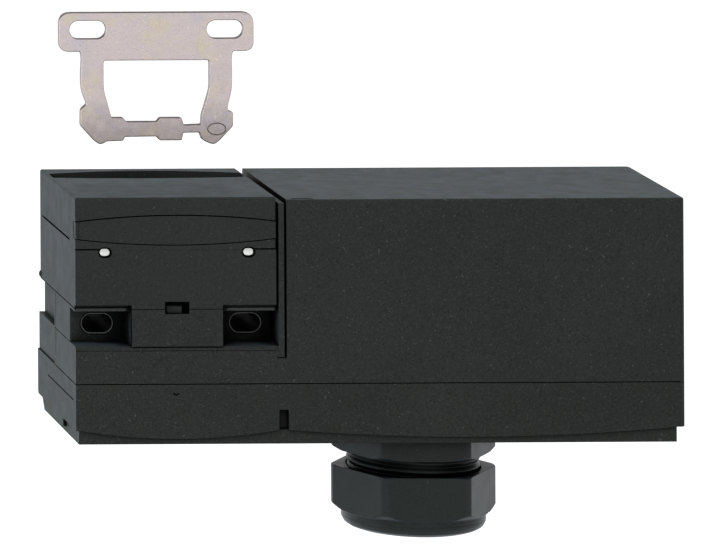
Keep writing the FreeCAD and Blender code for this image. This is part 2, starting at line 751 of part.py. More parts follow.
def cover_gasket():
    """Rubber ring in the groove of the cover's rim."""
    body = new_body("cover_gasket")
    slack = S.running_gap
    pad(body, "XY", (seam - S.gasket_width, seam),
        *gasket_loops(S.gasket_inset + slack, S.gasket_width - slack * 2))
    return keep("cover_gasket", body)


def cover_screws():
    """Four screws that hold the cover from below."""
    group("cover_screws", [
        screw(f"cover_screw_{index}", x, y, underside, S.screw_length, S.screw_radius, S.screw_head,
              S.screw_head_height)
        for index, (x, y) in enumerate(screw_places)])


# ---------------------------------------------------------------- head

cap_profile = [
    (front, S.cap_front_rise), (front + S.cap_step, S.cap_front_rise), (front + S.cap_step, S.cap_rise),
    (head_back, S.cap_rise), (head_back, S.head_rise), (front, S.head_rise),
]
base_profile = [
    (front, neck_top), (head_back, neck_top), (head_back, S.cap_rise), (front + S.cap_step, S.cap_rise),
    (front + S.cap_step, S.cap_front_rise), (front, S.cap_front_rise),
]
head_inside = ((left + S.head_wall, head_right - S.head_wall), (front + S.head_wall, head_back - S.head_wall))


def pin_outline(extra):
    """Outlines of both cap pins, or of their holes where extra is not zero."""
    width = S.pin_width + extra * 2
    height = S.pin_height + extra * 2
    return [slot(side * pin_half, S.pin_rise, width, height) for side in sides]


def pin_bosses(body, low, high):
    """Bosses behind the front wall that take the cap pins."""
    outer = pin_half + S.pin_boss_width / 2
    inner = pin_half - S.pin_boss_width / 2
    pad(body, "XZ", (front + S.head_wall, front + S.pin_recess + S.pin_length + 1),
        *[rectangle(sorted_span(side * inner, side * outer), (low, high)) for side in sides])


def sorted_span(first, second):
    """The two levels as a (low, high) pair."""
    return (first, second) if first.value < second.value else (second, first)


def pin_holes(body):
    """Holes of the cap pins, with the open rim at the face."""
    pocket(body, "XZ", (front, front + S.pin_recess + S.pin_length), *pin_outline(S.running_gap))
    pocket(body, "XZ", (front, front + S.pin_rim_depth), *pin_outline(S.pin_rim))


def head_base():
    """Lower half of the head: carries the wheel's shaft and guides plunger and bolt."""
    body = new_body("head_base")
    pad(body, "YZ", (left, head_right), base_profile)
    pocket(body, "XY", (neck_top + S.head_floor, S.cap_rise), rectangle(*head_inside))
    boss_low = S.pin_rise - S.pin_boss_height / 2
    pin_bosses(body, boss_low, S.cap_front_rise)
    pin_holes(body)
    along = (wheel_y - S.bearing_length / 2, wheel_y + S.bearing_length / 2)
    for span in ((bearing_left - S.bearing_thickness, bearing_left),
                 (bolt_tip + 0.3, head_right - S.head_wall)):
        pad(body, "YZ", span, rectangle(along, (neck_top + S.head_floor, S.cap_rise)))
    pocket(body, "YZ", (bearing_left - S.bearing_thickness, head_right - S.head_wall), [
        (wheel_y - shaft_hole, S.cap_rise), (wheel_y - shaft_hole, wheel_z, shaft_hole),
        (wheel_y + shaft_hole, wheel_z), (wheel_y + shaft_hole, S.cap_rise)])
    pocket(body, "YZ", (bolt_tip, head_right), circle(wheel_y, bolt_z, bolt_hole))
    pocket(body, "XY", (neck_top, neck_top + S.head_floor), circle(S.tongue_x, wheel_y, plunger_hole))
    pocket(body, "XZ", (front, front + S.ledge_depth),
           *[rectangle(span, (neck_top, neck_top + S.ledge_height + S.line_width))
             for span in ((left, -web_half), (web_half, head_right))])
    half = S.window_width / 2
    pocket(body, "XZ", (front, front + S.window_depth),
           rectangle((-half, half), (neck_top, S.window_rise + S.window_height / 2)))
    return keep("head_base", body)


def entry_outline(end_gap):
    """Lens shape of the unused front entry, shorter at both ends by the gap."""
    half = S.entry_height / 2
    low = S.entry_rise - half
    high = S.entry_rise + half
    start = left + end_gap
    finish = head_right - end_gap
    return [(start, low, S.entry_bulge), (finish, low), (finish, high, S.entry_bulge), (start, high)]


def head_cap():
    """Upper half of the head, with the mouth for the tongue and the plugged front entry."""
    body = new_body("head_cap")
    pad(body, "YZ", (left, head_right), cap_profile)
    fillet(body, S.edge_radius, lambda centre, run: (
        near(centre.z, S.head_rise) or (abs(run.z) > 0.99 and near(centre.x, head_right))))
    pocket(body, "XY", (S.cap_front_rise, S.head_rise - S.head_roof), rectangle(*head_inside))
    mouth_left = left + S.mouth_rim
    near_side = front + S.mouth_front
    far_side = front + S.mouth_back
    pocket(body, "XY", (S.head_rise - S.mouth_recess, S.head_rise), [
        (mouth_left, near_side, S.mouth_front_bulge), (head_right, near_side),
        (head_right, far_side, S.mouth_back_bulge), (mouth_left, far_side),
    ])
    pocket(body, "XZ", (front, front + S.head_wall), entry_outline(as_size(0)))
    pin_bosses(body, S.cap_front_rise, S.entry_rise - S.entry_height / 2 - S.entry_bulge)
    pin_holes(body)
    groove = (S.cap_rise, S.cap_rise + S.line_width)
    pocket(body, "YZ", (left, left + S.line_depth * 2), rectangle(
        (front + S.cap_step, head_back - S.head_wall), groove))
    seam_line = (S.cap_front_rise, S.cap_front_rise + S.line_width)
    outer = pin_half + S.pin_width / 2
    pocket(body, "XZ", (front, front + S.line_depth),
           rectangle((left, -outer), seam_line), rectangle((outer, head_right), seam_line))
    return keep("head_cap", body)


def slot_plug():
    """Lens-shaped plug of the front entry, with a flange behind the wall."""
    body = new_body("slot_plug")
    pad(body, "XZ", (front, front + S.head_wall), entry_outline(S.running_gap))
    height = S.entry_height / 2
    pad(body, "XZ", (front + S.head_wall, front + S.head_wall + S.plug_flange), rectangle(
        (-web_half, web_half), (S.entry_rise - height, S.entry_rise + height)))
    return keep("slot_plug", body)


def cap_pins():
    """Two flat steel pins that hold cap and base together."""
    pins = []
    for side in sides:
        body = new_body("cap_pin")
        pad(body, "XZ", (front + S.pin_recess, front + S.pin_recess + S.pin_length),
            slot(side * pin_half, S.pin_rise, S.pin_width, S.pin_height))
        pins.append(body)
    group("cap_pins", pins)


def head_latch():
    """Catch in the window between head and neck."""
    body = new_body("head_latch")
    low = S.window_rise - S.window_height / 2
    shift = (S.window_width - S.catch_width) / 4
    pad(body, "XZ", (front + S.catch_back, front + S.window_depth), rectangle(
        (-(S.catch_width / 2) - shift, S.catch_width / 2 - shift), (low, S.window_rise + S.catch_height / 2)))
    chamfer(body, S.edge_radius, lambda centre, run: (
        near(centre.z, S.window_rise + S.catch_height / 2) and near(centre.y, front + S.catch_back)))
    return keep("head_latch", body)


# ---------------------------------------------------------------- wheel, shaft and plunger

bar_height = feet + S.bar_rise
notch_angle = (bar_height - wheel_z) / S.pitch_radius
turn = S.tongue_travel / S.pitch_radius


def polar(radius, angle):
    """Point of the wheel's own YZ plane; the angle counts from the middle of the notch."""
    return Vector(0, radius * math.cos(angle), radius * math.sin(angle))


def lobe_shape():
    """Archimedean spiral: its radius falls evenly while the wheel turns, then a curve leads back."""
    start = -math.pi / 2 - notch_angle.value
    margin = math.radians(12)
    rate = S.lobe_lift.value / turn.value
    sweep = turn.value + 2 * margin
    angles = [start - margin + sweep * step / 16 for step in range(17)]
    spiral = Part.BSplineCurve()
    spiral.interpolate([polar(S.lobe_large.value - rate * (angle - start), angle) for angle in angles])
    first = spiral.StartPoint
    last = spiral.EndPoint
    bulge = polar((first.Length + last.Length) / 2 * 0.9, (angles[0] + angles[-1]) / 2 + math.pi)
    outline = Part.Wire([spiral.toShape(), Part.Arc(last, bulge, first).toShape()])
    return Part.Face(outline).extrude(Vector(S.lobe_width.value, 0, 0))


def sector_shape():
    """Locking sector: passes the bolt while the tongue travels and is clear of it at both ends."""
    bolt_half = math.asin(S.bolt_radius.value / S.bolt_offset.value) + math.radians(7)
    start = -math.pi / 2 - notch_angle.value + bolt_half
    finish = start + turn.value - 2 * bolt_half
    rim = Part.Arc(*[polar(S.sector_radius.value, angle) for angle in (start, (start + finish) / 2, finish)])
    centre = Vector(0, 0, 0)
    sides_of = [Part.LineSegment(centre, rim.StartPoint), rim, Part.LineSegment(rim.EndPoint, centre)]
    outline = Part.Wire([edge.toShape() for edge in sides_of])
    return Part.Face(outline).extrude(Vector(S.sector_thickness.value, 0, 0))


def cam_wheel():
    """Notched wheel turned by the crossbar, drawn with its notch along +Y and then turned to rest."""
    half = S.wheel_width / 2
    lobe_half = S.lobe_width / 2
    discs = new_body("wheel_discs")
    centre = circle(as_size(0), as_size(0), S.wheel_radius)
    hub = circle(as_size(0), as_size(0), S.hub_radius)
    pad(discs, "YZ", (-half, -lobe_half), centre)
    pad(discs, "YZ", (-lobe_half, lobe_half), hub)
    pad(discs, "YZ", (lobe_half, half), centre)
    pad(discs, "YZ", (half, half + S.sector_thickness), hub)
    for side in sides:
        span = sorted_span(side * lobe_half, side * half)
        pocket(discs, "YZ", span, rectangle(
            (S.notch_floor, S.wheel_radius + 1), (-(S.notch_width / 2), S.notch_width / 2)))
    lobe = doc.addObject("Part::Feature", "wheel_lobe")
    lobe.Shape = lobe_shape()
    place(lobe, x=-lobe_half)
    sector = doc.addObject("Part::Feature", "wheel_sector")
    sector.Shape = sector_shape()
    place(sector, x=half)
    bore = cylinder("wheel_bore", shaft_hole, "X", (-half, half + S.sector_thickness), 0, 0)
    wheel = cut("cam_wheel", fuse("wheel_blank", discs, lobe, sector), bore)
    wheel.Placement.Rotation = Rotation(Vector(1, 0, 0), math.degrees(notch_angle.value))
    wheel.setExpression("Placement.Rotation.Angle", f"{notch_angle.text} * 180deg / pi")
    place(wheel, S.tongue_x, wheel_y, wheel_z)
    return keep("cam_wheel", wheel)


def cam_shaft():
    """Steel pin that the wheel turns on."""
    ends = (bearing_left - S.bearing_thickness, head_right - S.head_wall - S.running_gap)
    return keep("cam_shaft", cylinder("cam_shaft", S.shaft_radius, "X", ends, wheel_y, wheel_z))


pole_places = [wheel_y + side * S.pole_pitch / 2 for side in sides]
bridge_top = -S.strip_drop - S.contact_gap
bridge_low = bridge_top - S.strip_thickness
crosshead_low = bridge_low - S.crosshead_cover
plunger_top = wheel_z - S.lobe_large - S.lobe_gap
block_floor_top = -S.block_drop + S.block_floor
spring_top = crosshead_low


def plunger():
    """Rod under the lobe, with the crosshead that carries the bridges."""
    body = new_body("plunger")
    pad(body, "XY", (crosshead_low + S.crosshead_height / 2, plunger_top),
        circle(S.tongue_x, wheel_y, S.plunger_radius))
    reach = S.pole_pitch / 2 + S.bridge_width / 2 + 0.6
    half = S.crosshead_width / 2
    pad(body, "XY", (crosshead_low, crosshead_low + S.crosshead_height), rectangle(
        (S.tongue_x - half, S.tongue_x + half), (wheel_y - reach, wheel_y + reach)))
    pocket(body, "YZ", (S.tongue_x - half, S.tongue_x + half), *[
        rectangle((y - S.bridge_width / 2, y + S.bridge_width / 2), (bridge_low, bridge_top))
        for y in pole_places])
    pad(body, "XY", (crosshead_low - 1, crosshead_low),
        circle(S.tongue_x, wheel_y, S.spring_radius - S.spring_wire * 2))
    chamfer(body, S.edge_radius, lambda centre, run: near(centre.z, plunger_top))
    return keep("plunger", body)


def coil_spring(label, wire, radius, span, turns, axis, first, second):
    """Helical spring that fills the span along its axis."""
    body = new_body(label)
    low, high = (as_size(level) for level in span)
    sketch = new_sketch(body, "XZ", 0)
    draw(sketch, [circle(radius, wire, wire)])
    feature = body.newObject("PartDesign::AdditiveHelix", "Helix")
    feature.Profile = sketch
    feature.ReferenceAxis = (sketch, ["V_Axis"])
    feature.Mode = "height-turns-growth"
    bind(feature, {"Height": high - low - wire * 2, "Turns": turns})
    settle(sketch, feature)
    if axis == "X":
        body.Placement.Rotation = Rotation(Vector(0, 1, 0), 90)
        place(body, low, first, second)
    else:
        place(body, first, second, low)
    return keep(label, body)


# ---------------------------------------------------------------- contacts

block_x = (S.tongue_x - S.block_width / 2, S.tongue_x + S.block_width / 2)
block_y = (wheel_y - S.block_length / 2, wheel_y + S.block_length / 2)
well_x = (block_x[0] + S.block_end, block_x[1] - S.block_end)
contact_screw_places = [
    (x, y) for x in (well_x[0] - S.block_end / 2, well_x[1] + S.block_end / 2) for y in pole_places]


def contact_block():
    """Insulating tray under the neck; its thick ends carry the strips and their screws."""
    body = new_body("contact_block")
    top = band_top - S.wall
    pad(body, "XY", (-S.block_drop, top), rectangle(block_x, block_y))
    pocket(body, "XY", (block_floor_top, top), rectangle(
        well_x, (block_y[0] + S.block_side, block_y[1] - S.block_side)))
    half = S.strip_width / 2 + S.running_gap
    pocket(body, "YZ", block_x, *[rectangle((y - half, y + half), (-S.strip_drop, top)) for y in pole_places])
    pocket(body, "XY", (-S.block_drop, top), *[
        circle(x, y, S.contact_screw_radius + S.running_gap) for x, y in contact_screw_places])
    return keep("contact_block", body)


def fixed_contacts():
    """Four strips, one at each end of each bridge."""
    strips = []
    half = S.strip_width / 2
    for side, (x, y) in zip((-1, -1, 1, 1), contact_screw_places):
        body = new_body("fixed_contact")
        outer = x + side * S.block_end / 2
        inner = x - side * (S.block_end / 2 + S.strip_reach)
        pad(body, "XY", (-S.strip_drop, S.strip_thickness - S.strip_drop),
            rectangle(sorted_span(outer, inner), (y - half, y + half)),
            circle(x, y, S.contact_screw_radius + S.running_gap))
        strips.append(body)
    group("fixed_contacts", strips)


def contact_bridges():
    """Two moving bridges, carried in the crosshead."""
    half_long = S.bridge_length / 2
    half_wide = S.bridge_width / 2
    group("contact_bridges", [
        box(f"bridge_{index}", (S.tongue_x - half_long, S.tongue_x + half_long),
            (y - half_wide, y + half_wide), (bridge_low, bridge_top))
        for index, y in enumerate(pole_places)])


def contact_screws():
    """Terminal screws under the contact block."""
    head_low = -S.block_drop - S.contact_head_height
    length = S.strip_thickness - S.strip_drop - head_low
    group("contact_screws", [
        screw(f"contact_screw_{index}", x, y, head_low, length, S.contact_screw_radius, S.contact_screw_head,
              S.contact_head_height)
        for index, (x, y) in enumerate(contact_screw_places)])


# ---------------------------------------------------------------- solenoid

coil_end = S.coil_start + S.coil_length
coil_inner = (S.coil_start + S.yoke_plate, coil_end - S.yoke_plate)
pole_end = coil_inner[0] + S.pole_length
armature_start = pole_end + S.bolt_travel + S.core_gap
bobbin_bore = S.core_radius + S.running_gap
tube_radius = bobbin_bore + S.bobbin_wall


def on_bolt_axis(label, corners):
    """A piece turned about the solenoid's axis."""
    body = turned(label, "X", corners)
    place(body, 0, wheel_y, bolt_z)
    return keep(label, body)


def solenoid_yoke():
    """Steel frame: a top plate and two end plates, held against the housing's roof."""
    body = new_body("solenoid_yoke")
    half = S.yoke_width / 2
    pad(body, "XZ", (wheel_y - half, wheel_y + half), [
        (S.coil_start, -S.yoke_drop), (coil_inner[0], -S.yoke_drop),
        (coil_inner[0], cavity_top - S.yoke_plate), (coil_inner[1], cavity_top - S.yoke_plate),
        (coil_inner[1], -S.yoke_drop), (coil_end, -S.yoke_drop),
        (coil_end, cavity_top), (S.coil_start, cavity_top),
    ])
    pocket(body, "YZ", (S.coil_start, coil_inner[0]), circle(wheel_y, bolt_z, S.rivet_radius + S.running_gap))
    return keep("solenoid_yoke", body)


def coil_bobbin():
    """Plastic spool between the yoke's end plates."""
    flange = S.bobbin_wall
    start, finish = coil_inner
    return on_bolt_axis("coil_bobbin", [
        (start, bobbin_bore), (finish, bobbin_bore), (finish, S.bobbin_flange),
        (finish - flange, S.bobbin_flange), (finish - flange, tube_radius), (start + flange, tube_radius),
        (start + flange, S.bobbin_flange), (start, S.bobbin_flange),
    ])


def coil_winding():
    """Copper winding as one taped sleeve."""
    span = (coil_inner[0] + S.bobbin_wall, coil_inner[1] - S.bobbin_wall)
    return on_bolt_axis("coil_winding", bar(span, (tube_radius + S.running_gap, S.winding_radius)))


def pole_piece():
    """Fixed core with its rivet in the left plate and the bolt's guide through its middle."""
    return on_bolt_axis("pole_piece", [
        (S.coil_start, bolt_hole), (pole_end - S.spring_pocket, bolt_hole),
        (pole_end - S.spring_pocket, S.pocket_radius), (pole_end, S.pocket_radius),
        (pole_end, S.core_radius), (coil_inner[0], S.core_radius),
        (coil_inner[0], S.rivet_radius), (S.coil_start, S.rivet_radius),
    ])


rod_end = armature_start + S.spring_pocket * 2
armature_end = coil_inner[1] - S.running_gap * 4


def armature():
    """Moving core that pushes the bolt."""
    grip = S.bolt_radius + S.running_gap
    return on_bolt_axis("armature", [
        (armature_start, S.pocket_radius), (armature_start + S.spring_pocket, S.pocket_radius),
        (armature_start + S.spring_pocket, grip), (rod_end, grip), (rod_end, 0), (armature_end, 0),
        (armature_end, S.core_radius), (armature_start, S.core_radius),
    ])


def locking_bolt():
    """Rod through the pole piece into the head, with a bevelled tip."""
    return on_bolt_axis("locking_bolt", [
        (bolt_tip, 0), (rod_end, 0), (rod_end, S.bolt_radius), (bolt_tip + S.edge_radius, S.bolt_radius),
        (bolt_tip, S.bolt_radius - S.edge_radius),
    ])


def terminal_block():
    """Terminals of the coil, under the yoke's feet."""
    body = new_body("terminal_block")
    half = S.terminal_length / 2
    low = -S.yoke_drop - S.terminal_height
    pad(body, "XY", (low, -S.yoke_drop), rectangle(
        (S.coil_start, coil_end), (wheel_y - half, wheel_y + half)))
    pocket(body, "XY", (low, -S.yoke_drop - S.terminal_roof), *[
        circle(x, y, S.contact_screw_radius + S.running_gap) for x, y in terminal_places])
    pocket(body, "XY", (low, low + S.contact_head_height), *[
        circle(x, y, S.terminal_screw_head + S.running_gap) for x, y in terminal_places])
    return keep("terminal_block", body)


terminal_places = [
    (S.coil_start + S.coil_length / 2 + column * S.terminal_pitch, wheel_y + side * S.terminal_length / 4)
    for column in (-1, 0, 1, 2) for side in sides]


def terminal_screws():
    """Screws of the coil's terminal block."""
    low = -S.yoke_drop - S.terminal_height
    group("terminal_screws", [
        screw(f"terminal_screw_{index}", x, y, low, S.terminal_height - S.terminal_end, S.contact_screw_radius,
              S.terminal_screw_head, S.contact_head_height)
        for index, (x, y) in enumerate(terminal_places)])


# ---------------------------------------------------------------- cable gland

gland_y = front / 2
flange_top = underside - S.gland_gasket
flange_low = flange_top - S.gland_flange
neck_low = flange_low - S.gland_neck
nut_top = underside - S.nut_drop
nut_hex_low = nut_top - S.nut_hex_height
nut_low = nut_hex_low - S.nut_collar
seal_top = neck_low + S.seal_length


def hexagon(label, span, across_flats):
    """Hexagonal prism about the gland's axis, with its corners turned off."""
    prism = doc.addObject("Part::Prism", f"{label}_prism")
    prism.Polygon = 6
    low, high = (as_size(level) for level in span)
    bind(prism, {"Circumradius": across_flats / math.sqrt(3), "Height": high - low})
    place(prism, 0, 0, low)
    disc = cylinder(f"{label}_disc", S.gland_round, "Z", span, 0, 0)
    item = doc.addObject("Part::Common", f"{label}_hexagon")
    item.Base = prism
    item.Tool = disc
    return item


def at_gland(label, item, turned_too):
    """Puts a piece that is drawn about its own axis in the gland's place."""
    if turned_too:
        item.Placement.Rotation = Rotation(Vector(0, 0, 1), S.gland_turn.value)
        item.setExpression("Placement.Rotation.Angle", f"{S.gland_turn.text} * 1deg")
    place(item, S.gland_x, gland_y, 0)
    return keep(label, item)


def gland_body():
    """Gland: thread through the cover, hexagon, and threaded neck for the nut."""
    thread_top = underside + S.gland_inside
    seat = S.seal_radius + S.running_gap
    barrel = turned("gland_barrel", "Z", [
        (S.gland_bore, seal_top), (seat, seal_top), (seat, neck_low),
        (S.gland_thread, neck_low), (S.gland_thread, thread_top), (S.gland_bore, thread_top),
    ])
    ring = hexagon("gland_flange", (flange_low, flange_top), S.gland_hex)
    bore = cylinder("gland_way", S.gland_thread - S.running_gap, "Z", (flange_low, flange_top), 0, 0)
    return at_gland("gland_body", fuse("gland_body", barrel, cut("gland_collar", ring, bore)), True)


def gland_nut():
    """Cap nut of the gland: hexagon, round collar and a rounded mouth."""
    inside = nut_hex_low + S.collar_lap
    collar = turned("nut_collar", "Z", [
        (as_size(0), nut_low), (S.collar_radius - S.nut_collar / 2, nut_low, S.nut_collar / 5),
        (S.collar_radius, nut_low + S.nut_collar / 2), (S.collar_radius, inside), (as_size(0), inside),
    ])
    blank = fuse("nut_blank", hexagon("gland_nut", (nut_hex_low, nut_top), S.gland_hex), collar)
    thread = cylinder(
        "nut_thread", S.gland_thread + S.running_gap * 2, "Z", (nut_low + S.nut_wall, nut_top), 0, 0)
    mouth = cylinder("nut_mouth", S.gland_bore, "Z", (nut_low, nut_top), 0, 0)
    return at_gland("gland_nut", cut("gland_nut", blank, thread, mouth), True)


def gland_rings():
    """Gasket, locknut, rubber bush and clamp ring of the gland."""
    hole = S.gland_thread + S.running_gap
    at_gland("gland_gasket", turned("gland_gasket", "Z", rectangle(
        (hole, S.gland_hex / 2), (flange_top, underside))), False)
    locknut_low = underside + S.cover_floor
    locknut = hexagon("locknut", (locknut_low, locknut_low + S.locknut_height), S.gland_hex)
    thread = cylinder("locknut_thread", hole, "Z", (locknut_low, locknut_low + S.locknut_height), 0, 0)
    at_gland("gland_locknut", cut("gland_locknut", locknut, thread), True)
    at_gland("gland_seal", turned("gland_seal", "Z", rectangle(
        (S.seal_bore, S.seal_radius), (neck_low, seal_top))), False)
    ring_low = neck_low - S.ring_length
    at_gland("clamp_ring", turned("clamp_ring", "Z", rectangle(
        (S.gland_bore, S.seal_radius), (ring_low, neck_low))), False)


# ---------------------------------------------------------------- tongue

def leg_outline(side):
    """One leg with its foot, from the plate down; side is -1 for the left and 1 for the right leg."""
    corners = [
        (S.leg_inner, S.window_top), (S.leg_inner, S.leg_bend), (S.foot_inner, S.bar_rise + S.bar_full / 2),
        (S.foot_inner, S.bar_rise - S.bar_full / 2), (S.foot_heel, 0, 0), (S.foot_toe, 0, 0),
        (S.leg_outer, S.foot_corner), (S.leg_outer, S.foot_shoulder), (S.foot_neck, S.foot_waist),
        (S.leg_outer, S.leg_bend), (S.leg_outer, S.window_top),
    ]
    placed = [(side * corner[0], feet + corner[1]) for corner in corners]
    return placed if side > 0 else placed[::-1]


def tongue():
    """Stamped steel tongue: mounting plate, two legs and the stepped crossbar that turns the wheel."""
    body = new_body("tongue")
    half = S.tongue_thickness / 2
    span = (-half, half)
    wide = S.plate_width / 2
    top = feet + S.tongue_height
    plate_low = top - S.plate_height
    pad(body, "XZ", span, rectangle((-wide, wide), (plate_low, top)))
    fillet(body, S.plate_radius, lambda centre, run: abs(run.y) > 0.99)
    neck_low_edge = feet + S.window_top
    pad(body, "XZ", span, rectangle((-S.leg_outer, S.leg_outer), (neck_low_edge, plate_low + S.plate_radius)))
    for side in sides:
        pad(body, "XZ", span, leg_outline(side))
    first = S.bar_root - S.foot_inner
    second = first + S.bar_notch
    third = S.foot_inner - S.bar_stub
    middle = feet + S.bar_rise
    for low, high, height in (
        (-S.foot_inner, first, S.bar_full), (first, second, S.bar_mid),
        (second, third, S.bar_full), (third, S.foot_inner, S.bar_thin),
    ):
        pad(body, "XZ", span, rectangle((low, high), (middle - height / 2, middle + height / 2)))
    pocket(body, "XZ", span, *[
        slot(side * S.tongue_pitch / 2, feet + S.tongue_slot_rise, S.tongue_slot_length, S.tongue_slot_width)
        for side in sides])
    pocket(body, "XZ", (-half, S.stake_line - half), *[
        slot(S.stake_x, feet + S.bar_rise, S.stake_length - inset * 2, S.stake_width - inset * 2)
        for inset in (as_size(0), S.stake_line)])
    place(body, S.tongue_x, tongue_y, 0)
    return keep("tongue", body)


# ---------------------------------------------------------------- build, check and write

for build in (
    main_housing, neck_block, terminal_cover, cover_gasket, cover_screws, head_base, head_cap, slot_plug,
    cap_pins, head_latch, cam_wheel, cam_shaft, plunger, contact_block, fixed_contacts, contact_bridges,
    contact_screws, solenoid_yoke, coil_bobbin, coil_winding, pole_piece, armature, locking_bolt,
    terminal_block, terminal_screws, gland_body, gland_nut, gland_rings, tongue,
):
    build()
coil_spring("plunger_spring", S.spring_wire, S.spring_radius, (block_floor_top, spring_top), 3, "Z",
            S.tongue_x, wheel_y)
coil_spring("armature_spring", S.return_wire, S.return_radius,
            (pole_end - S.spring_pocket, armature_start + S.spring_pocket), 5, "X", wheel_y, bolt_z)
doc.recompute()

for item in doc.Objects:
    if {"Invalid", "Error"} & set(item.State):
        raise RuntimeError(f"{item.Label} failed: {item.State}")
for label, item in nodes.items():
    if item.Shape.isNull() or not item.Shape.isValid() or not item.Shape.Solids:
        raise RuntimeError(f"{label} has no valid solid")

os.makedirs("parts", exist_ok=True)
for label, item in nodes.items():
    item.Shape.exportStep(f"parts/{label}.step")
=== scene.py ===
import logging
import math
from dataclasses import dataclass, field
from enum import Enum

import bmesh
import bpy
import numpy as np
from mathutils import Matrix, Vector


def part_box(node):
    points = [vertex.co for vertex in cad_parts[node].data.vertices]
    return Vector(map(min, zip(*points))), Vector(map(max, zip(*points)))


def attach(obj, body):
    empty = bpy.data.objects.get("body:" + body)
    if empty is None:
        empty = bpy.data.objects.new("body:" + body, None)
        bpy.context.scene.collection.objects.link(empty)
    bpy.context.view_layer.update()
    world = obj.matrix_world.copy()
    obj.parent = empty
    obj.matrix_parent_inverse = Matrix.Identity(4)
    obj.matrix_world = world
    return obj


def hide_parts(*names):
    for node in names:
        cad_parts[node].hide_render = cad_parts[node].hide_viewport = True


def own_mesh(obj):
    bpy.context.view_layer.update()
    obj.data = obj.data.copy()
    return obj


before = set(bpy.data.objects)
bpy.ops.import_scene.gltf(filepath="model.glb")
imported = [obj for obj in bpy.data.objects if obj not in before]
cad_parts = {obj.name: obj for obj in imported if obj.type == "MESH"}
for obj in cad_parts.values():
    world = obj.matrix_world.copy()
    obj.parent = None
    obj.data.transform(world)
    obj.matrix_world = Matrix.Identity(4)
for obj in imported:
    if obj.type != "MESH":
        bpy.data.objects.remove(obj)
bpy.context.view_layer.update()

logger = logging.getLogger("tongue_interlock_switch")

MM = 0.001
TURN = 2 * np.pi

Item = bpy.types.Object
Material = bpy.types.Material
Socket = bpy.types.NodeSocket
Tree = bpy.types.NodeTree
Colour = tuple[float, float, float]
Point = tuple[float, float, float]
Pair = tuple[float, float]

WHITE: Colour = (1.0, 1.0, 1.0)


# ------------------------------------------------------------------ surfaces

